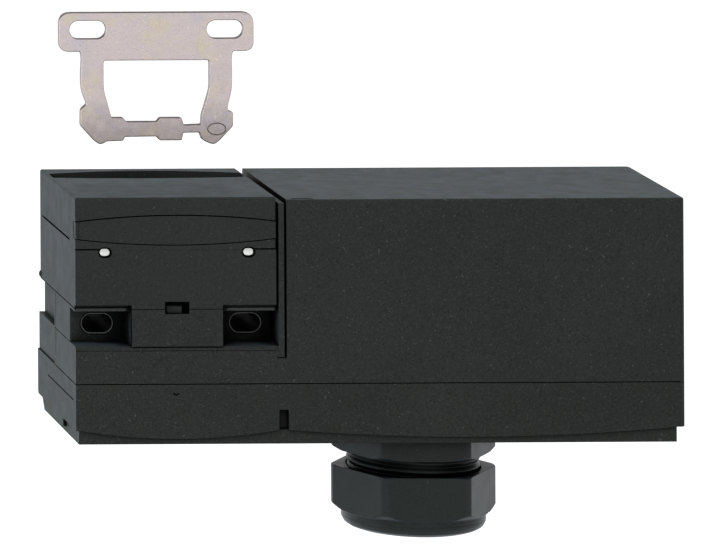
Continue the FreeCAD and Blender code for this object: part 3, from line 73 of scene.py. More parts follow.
class Surface:
    """Turns arrays of points into meshes and outlines."""

    # the ribbon's section: place across in widths, and height as a share of how far it stands proud
    RIBBON_ACROSS = (-0.5, -0.5, -0.35, 0.35, 0.5, 0.5)
    RIBBON_SHOULDER = 0.3
    RIBBON_SUNK = -0.04

    @staticmethod
    def link(name: str, data: bpy.types.ID) -> Item:
        """Makes an object of some data at the origin and links it to the scene."""
        item = bpy.data.objects.new(name, data)
        bpy.context.scene.collection.objects.link(item)
        return item

    @staticmethod
    def make(name: str, vertices: np.ndarray, faces: list, smooth: bool = True) -> Item:
        """Puts vertices and faces into a mesh object.

        Args:
            name: the object's name.
            vertices: points in millimetres, one row each.
            faces: lists of vertex numbers.
            smooth: whether the faces are shaded smooth.

        Returns:
            The new object, at the origin, with its place in its mesh.
        """
        mesh = bpy.data.meshes.new(name)
        mesh.from_pydata((vertices * MM).tolist(), [], faces)
        mesh.validate()
        mesh.update()
        mesh.polygons.foreach_set("use_smooth", np.full(len(mesh.polygons), smooth))
        return Surface.link(name, mesh)

    @staticmethod
    def rings(name: str, points: np.ndarray, loop: bool) -> Item:
        """Joins rings of points, each closed round, into a closed surface.

        Formula: face (i, j) joins points (i, j), (i, j+1), (i+1, j+1), (i+1, j), counted round the ring. When the
        rings don't form a loop, the first and last ring are closed by a fan to their mean point.

        Args:
            name: the object's name.
            points: array (rings, points round, 3) in millimetres.
            loop: whether the last ring joins the first one, as on a torus.

        Returns:
            The new object.
        """
        count, around, _ = points.shape
        index = np.arange(count * around).reshape(count, around)
        low = index if loop else index[:-1]
        high = np.roll(index, -1, axis=0) if loop else index[1:]
        corners = [low, np.roll(low, -1, 1), np.roll(high, -1, 1), high]
        faces = np.stack(corners, axis=-1).reshape(-1, 4).tolist()
        vertices = points.reshape(-1, 3)
        if not loop:
            pole = np.full(around, count * around)
            faces += np.stack([np.roll(index[0], -1), index[0], pole], axis=-1).tolist()
            faces += np.stack([index[-1], np.roll(index[-1], -1), pole + 1], axis=-1).tolist()
            vertices = np.vstack([vertices, points[[0, -1]].mean(axis=1)])
        return Surface.outward(Surface.make(name, vertices, faces))

    @staticmethod
    def outward(item: Item) -> Item:
        """Turns the faces of a closed mesh outwards, by the sign of its volume.

        Formula: the volume is the sum over faces of centre times area vector, divided by three; a negative sum
        means that the mesh is inside out.

        Args:
            item: the closed mesh object.

        Returns:
            The same object.
        """
        mesh = item.data
        count = len(mesh.polygons)
        centres, normals, areas = np.empty(count * 3), np.empty(count * 3), np.empty(count)
        mesh.polygons.foreach_get("center", centres)
        mesh.polygons.foreach_get("normal", normals)
        mesh.polygons.foreach_get("area", areas)
        if ((centres * normals).reshape(-1, 3).sum(axis=1) * areas).sum() < 0:
            mesh.flip_normals()
        return item

    @staticmethod
    def ribbon(name: str, path: np.ndarray, normal: Point, width: float, proud: float = 0.012) -> Item:
        """Thin closed strip that lies on a face along a path.

        Formula: across the path, the strip's six corners stand at shares of its width along normal times tangent,
        from a little inside the face to a little outside it.

        Args:
            name: the object's name.
            path: array (n, 3) of points on the face.
            normal: the face's outward direction.
            width: the strip's width in millimetres.
            proud: how far it stands out of the face.

        Returns:
            The strip.
        """
        out = np.array(normal, dtype=float)
        side = np.cross(out, np.gradient(path, axis=0))
        side /= np.linalg.norm(side, axis=1)[:, None]
        across = np.array(Surface.RIBBON_ACROSS) * width
        flank = [Surface.RIBBON_SUNK, Surface.RIBBON_SHOULDER * proud, proud]
        rise = np.array(flank + flank[::-1])
        sideways = side[:, None] * across[None, :, None]
        upwards = out[None, None] * rise[None, :, None]
        return Surface.rings(name, path[:, None] + sideways + upwards, loop=False)

    @staticmethod
    def rounded(corners: np.ndarray, reach: np.ndarray, steps: int = 8) -> np.ndarray:
        """Rounds the corners of a closed outline.

        Formula: each corner becomes a quadratic curve between the two points at the corner's reach along its sides,
        with the corner itself as control point.

        Args:
            corners: array (n, 2) of the outline's corners in order.
            reach: array (n,) of how far along both sides each rounding reaches.
            steps: points per corner.

        Returns:
            Array (n * steps, 2) of the rounded outline.
        """
        before = np.roll(corners, 1, axis=0) - corners
        after = np.roll(corners, -1, axis=0) - corners
        before /= np.linalg.norm(before, axis=1)[:, None]
        after /= np.linalg.norm(after, axis=1)[:, None]
        start = (corners + before * reach[:, None])[:, None]
        finish = (corners + after * reach[:, None])[:, None]
        t = np.linspace(0, 1, steps)[None, :, None]
        curve = (1 - t) ** 2 * start + 2 * t * (1 - t) * corners[:, None] + t ** 2 * finish
        return curve.reshape(-1, 2)

    @staticmethod
    def obround(centre: Pair, length: float, width: float, steps: int = 24) -> np.ndarray:
        """Outline of a level slot: two half circles joined by straight sides.

        Formula: at angle a the point is the centre plus (half straight times the sign of cos a + r cos a, r sin a).

        Args:
            centre: middle of the slot.
            length: end to end.
            width: across.
            steps: points per half circle.

        Returns:
            Array (2 * steps, 2), anticlockwise.
        """
        radius = width / 2
        quarter = np.pi / 2
        right = np.linspace(-quarter, quarter, steps)
        left = np.linspace(quarter, 3 * quarter, steps)
        angle = np.concatenate([right, left])
        shift = np.repeat([1.0, -1.0], steps) * (length - width) / 2
        x = centre[0] + shift + radius * np.cos(angle)
        return np.stack([x, centre[1] + radius * np.sin(angle)], 1)

    @staticmethod
    def round_way(points: int) -> np.ndarray:
        """Even angles once round, without the last, which is the first again."""
        return np.linspace(0, TURN, points, endpoint=False)


# ------------------------------------------------------------------ finishes

@dataclass(frozen=True)
class Pattern:
    """Noise of a feature size in millimetres, and the span of its values that shows.

    Stretch is the scale along each axis, where a small number draws the pattern out. Shift, in metres, makes two
    patterns differ.
    """

    size: float
    detail: float
    low: float = 0.0
    high: float = 1.0
    shift: Point = (0, 0, 0)
    stretch: Point = (1, 1, 1)


@dataclass(frozen=True)
class Tint:
    """Colour that shows where a pattern does, up to a share."""

    pattern: Pattern
    share: float
    colour: Colour


@dataclass(frozen=True)
class Layer:
    """Change of a plastic's own colour: its share for a dustiness of 1, then gain and lift."""

    pattern: Pattern
    share: float
    gain: float = 1.0
    lift: float = 0.0


class Graph:
    """A material's node tree with short ways to add and join nodes."""

    MIX_FIRST = 6
    MIX_SECOND = 7
    MIX_RESULT = 2
    EDGE_SAMPLES = 6
    HOLLOW_SAMPLES = 8
    EDGE_SPAN = (0.995, 0.8)
    HOLLOW_SPAN = (0.8, 0.42)

    def __init__(self, name: str) -> None:
        """Starts a material with one Principled shader."""
        self.material = bpy.data.materials.new(name)
        self.material.use_nodes = True
        self.tree = self.material.node_tree
        self.shader = next(node for node in self.tree.nodes if node.type == "BSDF_PRINCIPLED")
        self.place = self.add("ShaderNodeTexCoord").outputs["Object"]

    def add(self, kind: str, **settings: object) -> bpy.types.Node:
        """Adds a node and sets its properties."""
        node = self.tree.nodes.new(kind)
        for name, setting in settings.items():
            setattr(node, name, setting)
        return node

    def feed(self, node: bpy.types.Node, **values: object) -> bpy.types.Node:
        """Fills inputs by name, with underscores for spaces, and returns the node."""
        for name, value in values.items():
            self.join(node.inputs[name.replace("_", " ")], value)
        return node

    def join(self, target: Socket, value: object) -> None:
        """Links a socket to an input, or gives the input a constant."""
        if isinstance(value, Socket):
            self.tree.links.new(value, target)
        else:
            target.default_value = value

    def noise(self, pattern: Pattern) -> Socket:
        """Plain noise of a pattern's size, detail, stretch and shift."""
        mapping = self.add("ShaderNodeMapping")
        self.feed(mapping, Vector=self.place, Scale=pattern.stretch, Location=pattern.shift)
        node = self.add("ShaderNodeTexNoise")
        scale = 1 / (pattern.size * MM)
        self.feed(node, Vector=mapping.outputs[0], Scale=scale, Detail=pattern.detail)
        return node.outputs[0]

    def ramp(self, value: Socket, span: Pair, least: float = 0.0, most: float = 1.0) -> Socket:
        """Maps a span of a value onto least to most, held at both ends."""
        node = self.add("ShaderNodeMapRange", clamp=True)
        self.feed(node, From_Min=span[0], From_Max=span[1], To_Min=least, To_Max=most)
        return self.feed(node, Value=value).outputs[0]

    def show(self, pattern: Pattern, least: float = 0.0, most: float = 1.0) -> Socket:
        """A pattern's noise, its span mapped onto least to most."""
        return self.ramp(self.noise(pattern), (pattern.low, pattern.high), least, most)

    def blend(self, share: Socket, first: object, second: object) -> Socket:
        """Mixes two colours, each a socket or a constant, by a share."""
        node = self.feed(self.add("ShaderNodeMix", data_type="RGBA"), Factor=share)
        for index, colour in ((self.MIX_FIRST, first), (self.MIX_SECOND, second)):
            plain = not isinstance(colour, Socket)
            self.join(node.inputs[index], (*colour, 1.0) if plain else colour)
        return node.outputs[self.MIX_RESULT]

    def whole(self, share: Socket, most: float, first: object, second: object) -> Socket:
        """Mixes two colours by a share that runs from 0 to 1, up to a greatest amount."""
        return self.blend(self.ramp(share, (0.0, 1.0), 0.0, most), first, second)

    def about(self, pattern: Pattern, middle: float, span: Pair) -> Socket:
        """A pattern's noise, mapped onto a span about a middle value."""
        return self.show(pattern, middle + span[0], middle + span[1])

    def tint(self, colour: object, tint: Tint) -> Socket:
        """Lays a tint over a colour."""
        return self.blend(self.show(tint.pattern, 0.0, tint.share), colour, tint.colour)

    def edge(self, radius: float) -> tuple[Socket, Socket]:
        """Rounds sharp edges in the shading.

        Formula: the share of edge follows the dot product of the rounded and the true normal.

        Args:
            radius: rounding in millimetres.

        Returns:
            The rounded normal and a factor that is 1 on edges and 0 on flat faces.
        """
        bevel = self.add("ShaderNodeBevel", samples=self.EDGE_SAMPLES)
        rounded = self.feed(bevel, Radius=radius * MM).outputs[0]
        dot = self.add("ShaderNodeVectorMath", operation="DOT_PRODUCT")
        self.join(dot.inputs[0], rounded)
        self.join(dot.inputs[1], self.true_normal())
        return rounded, self.ramp(dot.outputs["Value"], self.EDGE_SPAN)

    def true_normal(self) -> Socket:
        """The face's own normal."""
        return self.add("ShaderNodeNewGeometry").outputs["True Normal"]

    def square(self, vector: Socket, axis: str) -> Socket:
        """Square of one component of a vector."""
        part = self.feed(self.add("ShaderNodeSeparateXYZ"), Vector=vector).outputs[axis]
        return self.times(part, part)

    def hollow_shade(self, reach: float) -> Socket:
        """Share of painted shade from ambient occlusion: 0 on open faces and 1 deep in gaps, within a reach in
        millimetres.
        """
        node = self.add("ShaderNodeAmbientOcclusion", samples=self.HOLLOW_SAMPLES)
        return self.ramp(self.feed(node, Distance=reach * MM).outputs["AO"], self.HOLLOW_SPAN)

    def times(self, first: Socket, second: Socket) -> Socket:
        """Product of two values."""
        node = self.add("ShaderNodeMath", operation="MULTIPLY")
        self.join(node.inputs[0], first)
        self.join(node.inputs[1], second)
        return node.outputs[0]

    def bump(self, grain: Pattern, depth: float, **normal: object) -> Socket:
        """Bump of a depth in millimetres from a pattern's noise, on another normal if one is given."""
        height = self.noise(grain)
        node = self.feed(self.add("ShaderNodeBump"), Height=height, Distance=depth * MM, **normal)
        return self.feed(node, Strength=1.0).outputs[0]

    def surface(self, **values: object) -> Material:
        """Fills the shader's inputs and returns the material."""
        self.feed(self.shader, **values)
        return self.material


@dataclass(frozen=True)
class MouldedPlastic:
    """Injection-moulded plastic: fine grain, mottling, dust, hairline scratches, worn edges, and painted shade in
    recesses, gaps and along edges.
    """

    name: str
    colour: Colour
    roughness: float = 0.55
    specular: float = 0.09
    grain: float = 0.16
    grain_depth: float = 0.005
    mottling: float = 0.05
    dust: float = 0.2
    edge_radius: float = 0.14
    edge_wear: float = 0.5
    shade_reach: float = 5.0
    sheen: float = 0.035
    sheen_tint: Colour = (0.40, 0.70, 1.0)

    CLOUD = Pattern(12.0, 3.0, 0.35, 0.65)
    # pale flecks, dark pores, dust specks and hairline scratches, in this order
    LAYERS = (
        Layer(Pattern(0.28, 1.0, 0.55, 0.68, (0.02, 0.04, 0.01)), 2.4, gain=2.0),
        Layer(Pattern(0.3, 1.0, 0.6, 0.68, (0.06, 0.01, 0.03)), 3.0, gain=0.4),
        Layer(Pattern(0.42, 1.0, 0.725, 0.78, (0.03, 0.01, 0.02)), 2.6, lift=0.09),
        Layer(Pattern(0.5, 2.0, 0.7, 0.77, (0.01, 0.02, 0.05), (0.06, 0.3, 1.0)), 1.2, lift=0.03),
    )
    # painted shade in recesses and gaps: the share of the colour and of the gloss that is left there
    HOLLOW_SHADE_GAIN = 0.06
    HOLLOW_SHADE_GLOSS = 0.25
    # painted shade along edges: its share and the colour's gain there
    EDGE_SHARE = 0.75
    EDGE_GAIN = 0.2
    WEAR = Pattern(0.9, 3.0, 0.55, 0.68, (0.05, 0.0, 0.0))
    WEAR_LIFT = 0.07
    POLISH = Pattern(3.0, 3.0, 0.3, 0.7)
    POLISH_SPAN = (-0.03, 0.04)
    BLOOM = Pattern(2.4, 3.0, 0.35, 0.68, (0.07, 0.02, 0.05))
    BLOOM_GAINS = (0.6, 1.9)
    SHEEN_END = 0.8
    SHEEN_ROUGHNESS = 0.5

    def build(self) -> Material:
        """Builds the node tree and returns the material."""
        graph = Graph(self.name)
        base = np.array(self.colour)
        pale, deep = tuple(base * (1 + self.mottling)), tuple(base * (1 - self.mottling))
        colour = graph.blend(graph.show(self.CLOUD), deep, pale)
        for layer in self.LAYERS:
            share = graph.show(layer.pattern, 0.0, self.dust * layer.share)
            colour = graph.blend(share, colour, tuple(base * layer.gain + layer.lift))
        # painted shade: the colour darkens to a small share of itself in recesses and gaps
        hollow_shade = graph.hollow_shade(self.shade_reach)
        colour = graph.blend(hollow_shade, colour, tuple(base * self.HOLLOW_SHADE_GAIN))
        rounded, edge = graph.edge(self.edge_radius)
        # painted shade: every edge darkens towards a fifth of the base colour
        colour = graph.whole(edge, self.EDGE_SHARE, colour, tuple(base * self.EDGE_GAIN))
        rubbed = graph.times(edge, graph.show(self.WEAR))
        colour = graph.whole(rubbed, self.edge_wear, colour, tuple(base + self.WEAR_LIFT))
        bloom = graph.show(self.BLOOM, *(self.sheen * gain for gain in self.BLOOM_GAINS))
        # painted shade on the gloss: sheen and specular fade in recesses and gaps
        open_share = graph.ramp(hollow_shade, (0.0, self.SHEEN_END), 1.0, 0.0)
        gloss = graph.ramp(hollow_shade, (0.0, 1.0), self.specular, self.specular * self.HOLLOW_SHADE_GLOSS)
        return graph.surface(
            Base_Color=colour, Specular_IOR_Level=gloss,
            Roughness=graph.about(self.POLISH, self.roughness, self.POLISH_SPAN),
            Normal=graph.bump(Pattern(self.grain, 2.0), self.grain_depth, Normal=rounded),
            Sheen_Weight=graph.times(open_share, bloom), Sheen_Roughness=self.SHEEN_ROUGHNESS,
            Sheen_Tint=(*self.sheen_tint, 1.0),
        )


@dataclass(frozen=True)
class StampedSteel:
    """Zinc-plated stamping: pinkish grey, faint yellow and blue tints, fine rolled grain, with painted shade on its
    edges and on faces that look up or down.
    """

    name: str
    colour: Colour = (0.560, 0.490, 0.486)
    stain_and_shade: Colour = (0.22, 0.17, 0.16)
    sheared_and_shade: Colour = (0.055, 0.040, 0.038)
    roughness: float = 0.42
    edge_radius: float = 0.16
    foot_levels: Pair = (26.0, 30.5)

    WARM = Tint(Pattern(3.0, 2.0, 0.5, 0.7), 0.7, (0.585, 0.515, 0.40))
    COOL = Tint(Pattern(4.0, 2.0, 0.52, 0.72, (0.4, 0.1, 0.2)), 0.55, (0.47, 0.44, 0.51))
    FOOT_DARKENING_SHARE = 0.28
    GRIME = Pattern(0.24, 4.0, 0.55, 0.72, (0.2, 0.0, 0.1))
    GRIME_SHARE = 0.42
    SHINE = Tint(Pattern(0.3, 2.0, 0.66, 0.74, (0.1, 0.3, 0.0)), 0.5, (0.8, 0.76, 0.74))
    EDGE_SHARE = 0.85
    # each darkening, partly the own darker colour of faces cut in the stamping and partly painted shade by which
    # way a face looks: the span of a normal's squared component, and its share
    ASIDE = ((0.85, 0.35), 0.45)
    LEVEL_SHADE = ((0.15, 0.6), 0.9)
    BESIDE_SHADE = ((0.03, 0.3), 0.75)
    POLISH = Pattern(1.1, 4.0, 0.3, 0.7)
    POLISH_SPAN = (-0.08, 0.1)
    ROLLED = Pattern(0.12, 2.0, stretch=(1.0, 1.0, 0.12))
    ROLLED_DEPTH = 0.003

    def build(self) -> Material:
        """Builds the node tree: tints, darkening towards the foot, dark edges cut in the stamping, and painted
        shade on edges and on faces that look up or down.

        Formula: a face cut in the stamping is one whose true normal leaves the Y axis; painted shade makes it
        darkest where it looks up or down, and the rounded normal's height paints shade on the edges beside it.

        Returns:
            The material.
        """
        graph = Graph(self.name)
        colour = graph.tint(graph.tint(self.colour, self.WARM), self.COOL)
        height = graph.feed(graph.add("ShaderNodeSeparateXYZ"), Vector=graph.place).outputs["Z"]
        low, high = self.foot_levels
        # darker towards the foot: the colour blends towards the dark colour below the upper foot level
        tarnish = graph.ramp(height, (high * MM, low * MM), 0.0, self.FOOT_DARKENING_SHARE)
        colour = graph.blend(tarnish, colour, self.stain_and_shade)
        colour = graph.tint(colour, Tint(self.GRIME, self.GRIME_SHARE, self.stain_and_shade))
        colour = graph.tint(colour, self.SHINE)
        rounded, edge = graph.edge(self.edge_radius)
        # painted shade: edges darken towards the dark colour
        colour = graph.whole(edge, self.EDGE_SHARE, colour, self.stain_and_shade)
        # painted shade: faces that look up or down, and the edges beside them, darken; faces cut in the stamping
        # take their own darker colour
        true = graph.true_normal()
        for normal, axis, (span, share) in (
            (true, "Y", self.ASIDE), (true, "Z", self.LEVEL_SHADE), (rounded, "Z", self.BESIDE_SHADE),
        ):
            dark = graph.ramp(graph.square(normal, axis), span, 0.0, share)
            colour = graph.blend(dark, colour, self.sheared_and_shade)
        return graph.surface(
            Base_Color=colour, Metallic=1.0,
            Roughness=graph.about(self.POLISH, self.roughness, self.POLISH_SPAN),
            Normal=graph.bump(self.ROLLED, self.ROLLED_DEPTH, Normal=rounded),
        )


@dataclass(frozen=True)
class PlainMetal:
    """Turned, drawn or stamped metal with a fine directional grain and slight tarnish."""

    name: str
    colour: Colour
    roughness: float = 0.3
    grain: Point = (0.1, 1.0, 1.0)
    tarnish: float = 0.25
    edge_radius: float = 0.08

    TARNISH = Pattern(1.8, 3.0, 0.45, 0.75)
    DULL_GAIN = 0.6
    EDGE_GAIN = 1.3
    EDGE_SHARE = 0.4
    POLISH = Pattern(0.8, 3.0, 0.3, 0.7)
    POLISH_SPAN = (-0.06, 0.08)
    GRAIN_SIZE = 0.1
    GRAIN_DEPTH = 0.003

    def build(self) -> Material:
        """Builds the node tree and returns the material."""
        graph = Graph(self.name)
        base = np.array(self.colour)
        dull, bright = tuple(base * self.DULL_GAIN), tuple(np.minimum(base * self.EDGE_GAIN, 1))
        colour = graph.tint(self.colour, Tint(self.TARNISH, self.tarnish, dull))
        rounded, edge = graph.edge(self.edge_radius)
        grain = Pattern(self.GRAIN_SIZE, 2.0, stretch=self.grain)
        return graph.surface(
            Base_Color=graph.whole(edge, self.EDGE_SHARE, colour, bright), Metallic=1.0,
            Roughness=graph.about(self.POLISH, self.roughness, self.POLISH_SPAN),
            Normal=graph.bump(grain, self.GRAIN_DEPTH, Normal=rounded),
        )


@dataclass(frozen=True)
class Rubber:
    """Dull black rubber with a bloom."""

    name: str
    colour: Colour = (0.012, 0.012, 0.012)
    roughness: float = 0.7
    specular: float = 0.25
    grain_depth: float = 0.01

    BLOOM = Tint(Pattern(1.5, 4.0, 0.4, 0.8), 0.3, (0.04, 0.04, 0.042))
    GRAIN = Pattern(0.2, 3.0)

    def build(self) -> Material:
        """Builds the node tree and returns the material."""
        graph = Graph(self.name)
        return graph.surface(
            Base_Color=graph.tint(self.colour, self.BLOOM), Roughness=self.roughness,
            Specular_IOR_Level=self.specular, Normal=graph.bump(self.GRAIN, self.grain_depth),
        )


class Finish(Enum):
    """The finishes of the switch, each built once."""

    HOUSING = MouldedPlastic("moulded_black_housing", (0.0207, 0.0235, 0.0207))
    HEAD = MouldedPlastic("moulded_black_head", (0.0212, 0.0240, 0.0218), grain=0.14, dust=0.13)
    COVER = MouldedPlastic("moulded_black_cover", (0.0200, 0.0226, 0.0195), mottling=0.09)
    GLAND = MouldedPlastic(
        "moulded_black_gland", (0.0122, 0.0158, 0.0138), roughness=0.34, specular=0.15, grain=0.3,
        grain_depth=0.003, dust=0.12, edge_radius=0.1, edge_wear=0.4, shade_reach=4.5, sheen=0.05)
    # painted shade: near-black strips on seams, edges and grooves, for the shade in their fine gaps
    SEAM = MouldedPlastic(
        "painted_seam_shade", (0.0022, 0.0022, 0.0022), roughness=0.9, specular=0.0, grain=0.2,
        grain_depth=0.002, mottling=0.1, dust=0.05, edge_radius=0.02, edge_wear=0.05,
        shade_reach=1.0, sheen=0.0)
    # painted highlight: a lighter finish for the rims round the fixing slots
    RIM = MouldedPlastic(
        "painted_slot_rim_highlight", (0.110, 0.118, 0.112), roughness=0.4, specular=0.3, grain=0.2,
        grain_depth=0.003, mottling=0.3, edge_radius=0.04, edge_wear=0.2, shade_reach=0.3)
    # painted light: a lighter finish for the strips on the ledge below the head
    LEDGE = MouldedPlastic(
        "painted_ledge_light", (0.045, 0.049, 0.046), roughness=0.5, specular=0.12, grain=0.2,
        grain_depth=0.003, mottling=0.1, edge_radius=0.04, edge_wear=0.3, shade_reach=0.3)
    WHEEL = MouldedPlastic(
        "acetal_wheel", (0.62, 0.60, 0.54), roughness=0.4, specular=0.4, grain=0.2,
        grain_depth=0.003, dust=0.02, edge_radius=0.15, edge_wear=0.1)
    PLUNGER = MouldedPlastic(
        "red_plunger", (0.34, 0.03, 0.02), roughness=0.4, specular=0.4, grain=0.2,
        grain_depth=0.003, mottling=0.08, dust=0.02, edge_radius=0.1, edge_wear=0.2)
    INSULATOR = MouldedPlastic(
        "grey_insulator", (0.05, 0.05, 0.053), roughness=0.5, specular=0.3, grain=0.2,
        grain_depth=0.004, mottling=0.1, dust=0.1, edge_radius=0.1, edge_wear=0.3)
    BOBBIN = MouldedPlastic(
        "bobbin_plastic", (0.5, 0.5, 0.46), roughness=0.5, specular=0.3, grain=0.2,
        grain_depth=0.004, mottling=0.06, dust=0.02, edge_radius=0.1, edge_wear=0.1)
    TONGUE = StampedSteel("zinc_plated_tongue")
    STAKE = PlainMetal("staked_mark", (0.16, 0.13, 0.125), 0.5)
    PIN = PlainMetal("bright_pin_steel", (0.62, 0.63, 0.61), 0.22)
    SCREW = PlainMetal("zinc_screw_steel", (0.52, 0.52, 0.50), 0.32)
    SHAFT = PlainMetal("ground_shaft_steel", (0.55, 0.55, 0.55), 0.2, grain=(0.05, 1.0, 1.0))
    SPRING = PlainMetal("spring_wire", (0.42, 0.42, 0.42), 0.28)
    YOKE = PlainMetal("yoke_steel", (0.50, 0.50, 0.47), 0.38, grain=(1.0, 1.0, 0.15))
    CORE = PlainMetal("core_steel", (0.36, 0.36, 0.37))
    CONTACT = PlainMetal("contact_brass", (0.66, 0.46, 0.18))
    WINDING = PlainMetal("enamelled_copper", (0.50, 0.20, 0.08), 0.35, grain=(1.0, 0.02, 0.02), tarnish=0.4)
    RUBBER = Rubber("black_rubber")

    def material(self) -> Material:
        """The finish's material, built on first use."""
        return bpy.data.materials.get(self.value.name) or self.value.build()


class Shop:
    """Dresses nodes, finishes new pieces and reports both."""

    @staticmethod
    def dress(finish: Finish, *nodes: str) -> None:
        """Gives carried-over CAD nodes a finish in every material slot."""
        material = finish.material()
        for node in nodes:
            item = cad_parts[node]
            if not item.data.materials:
                item.data.materials.append(material)
            for slot in item.material_slots:
                slot.material = material
            logger.info("dressed %s in %s", node, material.name)

    @staticmethod
    def add(item: Item, body: str, slot: str, finish: Finish, *replaces: str) -> None:
        """Finishes a new piece, rides it on its body and reports it."""
        item.data.materials.clear()
        item.data.materials.append(finish.material())
        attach(item, body)
        if replaces:
            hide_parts(*replaces)
        logger.info("made %s on %s", item.name, body)


# ------------------------------------------------------------------ sub-assemblies

class Side(Enum):
    """Upright faces of the housing: the axis across, the face's place on it, outward sign."""

    LEFT = (0, -15.0, -1)
    RIGHT = (0, 75.0, 1)
    FRONT = (1, -30.0, -1)
    BACK = (1, 0.0, 1)

    @property
    def normal(self) -> Point:
        """Outward direction."""
        axis, _, sign = self.value
        return tuple(float(sign) if index == axis else 0.0 for index in range(3))

    def points(self, marks: tuple[Pair, ...], inset: float) -> np.ndarray:
        """Points on the face.

        Args:
            marks: pairs of place along the face and height.
            inset: how far inside the face they lie.

        Returns:
            Array (n, 3) in millimetres.
        """
        axis, place, sign = self.value
        along, height = np.array(marks, dtype=float).T
        columns = [along, along, height]
        columns[axis] = np.full(len(along), place - sign * inset)
        return np.stack(columns, axis=1)


@dataclass(frozen=True)
class Seam:
    """Strip along marks on one face: by default a dark strip of painted shade where two mouldings meet or along an
    edge or groove; with a lighter finish, a strip of painted light.
    """

    name: str
    side: Side
    marks: tuple[Pair, ...]
    width: float
    sag: float = 0.0
    inset: float = 0.0
    finish: Finish = Finish.SEAM
    steps: int = 41

    def path(self) -> np.ndarray:
        """Points along the seam.

        Formula: even steps along the marks' polyline, with a parabola of the given sag added to the height.

        Returns:
            Array (n, 3) in millimetres.
        """
        corners = self.side.points(self.marks, self.inset)
        run = np.linalg.norm(np.diff(corners, axis=0), axis=1)
        length = np.concatenate([[0], np.cumsum(run)])
        stops = np.union1d(np.linspace(0, length[-1], self.steps), length)
        path = np.stack([np.interp(stops, length, corners[:, k]) for k in range(3)], axis=1)
        share = stops / length[-1]
        path[:, 2] += 4 * self.sag * share * (1 - share)
        return path

    def build(self, slot: str) -> None:
        """Makes the line and rides it on the housing."""
        strip = Surface.ribbon(self.name, self.path(), self.side.normal, self.width)
        Shop.add(strip, "housing", slot, self.finish)


